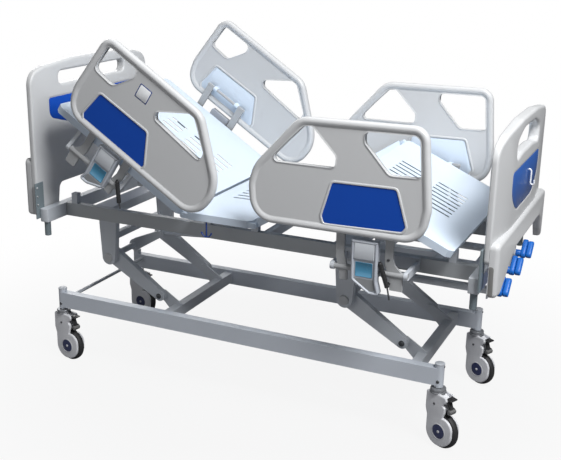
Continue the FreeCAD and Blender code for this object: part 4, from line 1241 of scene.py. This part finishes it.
@dataclass
class Crank:
    """One crank's arm and folding grip as parallel ribbed bars."""

    tag: str
    y: float
    z: float
    lean: float = math.radians(43.0)

    def bar(self, low: float, high: float, x: float, thick: float, wide: float) -> Mesh:
        """Bar with half-round ends and long ribs, as a grid over its length and its section.

        The half width follows w(s) = sqrt(w0^2 - e(s)^2), with e the reach past the end's centre, and the
        face stands at t(v) = t0 + 0.0011 cos(8 pi v) over the middle of the width.

        Args:
            low: start along the arm.
            high: end along the arm.
            x: middle of the bar along the shaft.
            thick: half of its thickness.
            wide: half of its width.

        Returns:
            Vertices and faces.
        """
        turn = np.linspace(math.pi, 0.0, 11)
        s = np.concatenate([low + wide + wide * np.cos(turn[:6]), high - wide + wide * np.cos(turn[5:])])
        past = np.maximum(0.0, np.maximum(low + wide - s, s - high + wide))
        half = np.sqrt(np.maximum(1e-9, wide ** 2 - past ** 2))
        v = np.linspace(-0.5, 0.5, 33)
        soft = np.sqrt(np.maximum(0.0, 1 - (np.abs(v) * 2) ** 8))
        rib = 0.0011 * np.cos(8 * math.pi * v) * (np.abs(v) < 0.44)
        across = np.concatenate([v, v[::-1][1:-1]])
        face = np.concatenate([(thick + rib) * soft, -((thick + rib) * soft)[::-1][1:-1]])
        ends = np.clip(half / wide * 1.6, 0.0, 1.0)
        a = s[:, None] + 0 * across[None]
        b = 2 * half[:, None] * across[None]
        t = x + ends[:, None] * face[None]
        spots = np.stack([t, self.y + a * math.cos(self.lean) - b * math.sin(self.lean),
                          self.z + a * math.sin(self.lean) + b * math.cos(self.lean)], -1)
        return spots.reshape(-1, 3), grid_faces(len(s), len(across), False, True)

    def build(self) -> None:
        """Make the arm with its hub and shaft, and the grip with its pin."""
        spot, axis = (1.015, self.y, self.z), (1.0, 0.0, 0.0)
        hub = [(0.0, -0.038), (0.0150, -0.038), (0.0150, -0.011), (0.0135, -0.009), (0.0, -0.009)]
        shaft = [(0.0, -0.178), (0.0089, -0.178), (0.0089, -0.037), (0.0, -0.037)]
        body = "crank_" + self.tag
        piece("crank_arm_" + self.tag, [self.bar(-0.019, 0.068, 1.0145, 0.0098, 0.0165),
                                        turned_profile(hub, spot, axis, 24)],
              CRANK_BLUE, body, (body,))
        piece("crank_shaft_" + self.tag, [turned_profile(shaft, spot, axis, 20)], ZINC, body)
        piece("crank_grip_bar_" + self.tag, [self.bar(-0.016, 0.0628, 1.0375, 0.0102, 0.0140)], CRANK_BLUE,
              "grip_" + self.tag, ("crank_grip_" + self.tag,))


# fittings


@dataclass
class CapPlane:
    """Carries (X, Z, reach from the middle) to the row frame on one side."""

    sign: int

    def place(self, points: np.ndarray) -> np.ndarray:
        """Move the points to their side."""
        return np.stack([points[..., 0], self.sign * points[..., 2], points[..., 1]], -1)


@dataclass
class Fittings:
    """Bolts, dampers, caps and the other small pieces on the steelwork."""

    def dampers(self) -> None:
        """Black damper beside the catch of each side rail, with its rod."""
        for end, top, bottom, rod in ((End.FOOT, (0.6125, 0.779), (0.6455, 0.687), (0.6555, 0.640)),
                                      (End.HEAD, *DAMPER_HEAD)):
            for side in Side:
                tag = tag_of(end, side)
                spots = [np.array((x, side.value * 0.478, z)) for x, z in (top, bottom, rod)]
                axis = spots[1] - spots[0]
                long = float(np.linalg.norm(axis))
                body = [(0.0, -0.006), (0.0050, -0.006), (0.0056, -0.001), (0.0082, 0.001), (0.0092, 0.004)]
                for ring in np.arange(0.010, long - 0.012, 0.0075):
                    body += [(0.0092, ring), (0.0086, ring + 0.0012), (0.0086, ring + 0.0026),
                             (0.0092, ring + 0.0038)]
                body += [(0.0092, long - 0.004), (0.0082, long - 0.001), (0.0056, long), (0.0038, long)]
                tube = turned_profile(body, spots[0], axis, 24)
                piece("damper_tube_" + tag, [tube], BLACK, "arms_" + tag)
                thin = swept_tube(np.linspace(spots[1], spots[2], 3), 0.0032)
                piece("damper_rod_" + tag, [thin], DARK_BOLT, "arms_" + tag)

    def hooks(self) -> None:
        """Anchor-shaped drainage hooks: a stem and an arc r(cos a, sin a) below the seat's edge."""
        for side in Side:
            x, y = -0.145, side.value * 0.4335
            stem = np.linspace((x, y, 0.822), (x, y, 0.756), 4)
            angle = np.radians(np.linspace(-168, -12, 19))
            arc = np.column_stack([x + 0.0235 * np.cos(angle), np.full(19, y),
                                   0.7795 + 0.0250 * np.sin(angle)])
            piece("drainage_hook_" + side.name.lower(), [swept_tube(stem, 0.0032), swept_tube(arc, 0.0032)],
                  HOOK_BLUE, "upper_frame", ("drainage_hooks",) if side is Side.RIGHT else ())

    def pivots(self) -> None:
        """Bolts with washers at the lift arms' lower pivots."""
        washer = [(0.0, 0.0016), (0.0120, 0.0016), (0.0128, 0.0008), (0.0128, -0.0002)]
        for name, x in (("head", -0.5075), ("foot", 0.6394)):
            parts = []
            for sign in (-1, 1):
                spot, axis = np.array((x, sign * 0.2300, 0.361)), np.array((0.0, sign, 0.0))
                parts.append(turned_profile(washer, spot, axis, 28))
                parts.append(bolt(spot + axis * 0.0012, axis, 0.0078, 0.0040))
            piece("pivot_bolts_" + name, parts, DARK_BOLT, "base")

    def end_caps(self) -> None:
        """Plugs in the open ends of the upper cross members."""
        profile = [(0.0036, 0.4300), (0.0036, 0.4402), (0.0004, 0.4402), (0.0004, 0.4412), (0.0020, 0.4424)]
        for name, low, high in (("head", -0.975, -0.935), ("foot", 0.937, 0.977)):
            line = rounded_box((low, 0.7045), (high, 0.7645), 0.004, 5)
            parts = [pressed(line, profile, CapPlane(sign).place) for sign in (-1, 1)]
            piece("member_caps_" + name, parts, FRAME_COAT, "upper_frame")

    def plate_bolts(self) -> None:
        """Bright bolts on the boards' mounting plates."""
        for name, x, way in (("head", -0.9750, 1), ("foot", 0.9770, -1)):
            parts = [bolt((x, sign * 0.4530, z), (way, 0.0, 0.0), 0.0052, 0.0030)
                     for sign in (-1, 1) for z in (0.782, 0.820, 0.858)]
            piece("plate_bolts_" + name, parts, ZINC, "upper_frame")

    def mount_bolts(self) -> None:
        """Dark bolts on the foot rails' swing arms, beside the catch."""
        for side in Side:
            parts = [bolt((x, side.value * 0.4632, z), (0.0, side.value, 0.0), 0.0058, 0.0028)
                     for x, z in ((0.647, 0.700), (0.640, 0.790), (0.512, 0.700))]
            tag = tag_of(End.FOOT, side)
            piece("arm_bolts_" + tag, parts, DARK_BOLT, "arms_" + tag)

    def build(self) -> None:
        """Make all the fittings."""
        self.dampers()
        self.hooks()
        self.pivots()
        self.end_caps()
        self.plate_bolts()
        self.mount_bolts()


def main() -> None:
    """Build the bed's sub-assemblies in order."""
    logging.basicConfig(level=logging.INFO, format="%(message)s")
    Studio().build()
    Steelwork().build()
    for end in End:
        for side in Side:
            RailMoulding(end, side).build()
            LatchCover(end, side).build()
            Caster(end, side).build()
        Board(end).build()
    for tag, y, z in (("right", -0.240, 0.655), ("middle", -0.020, 0.670), ("left", 0.200, 0.675)):
        Crank(tag, y, z).build()
    Fittings().build()


if __name__ == "__main__":
    main()
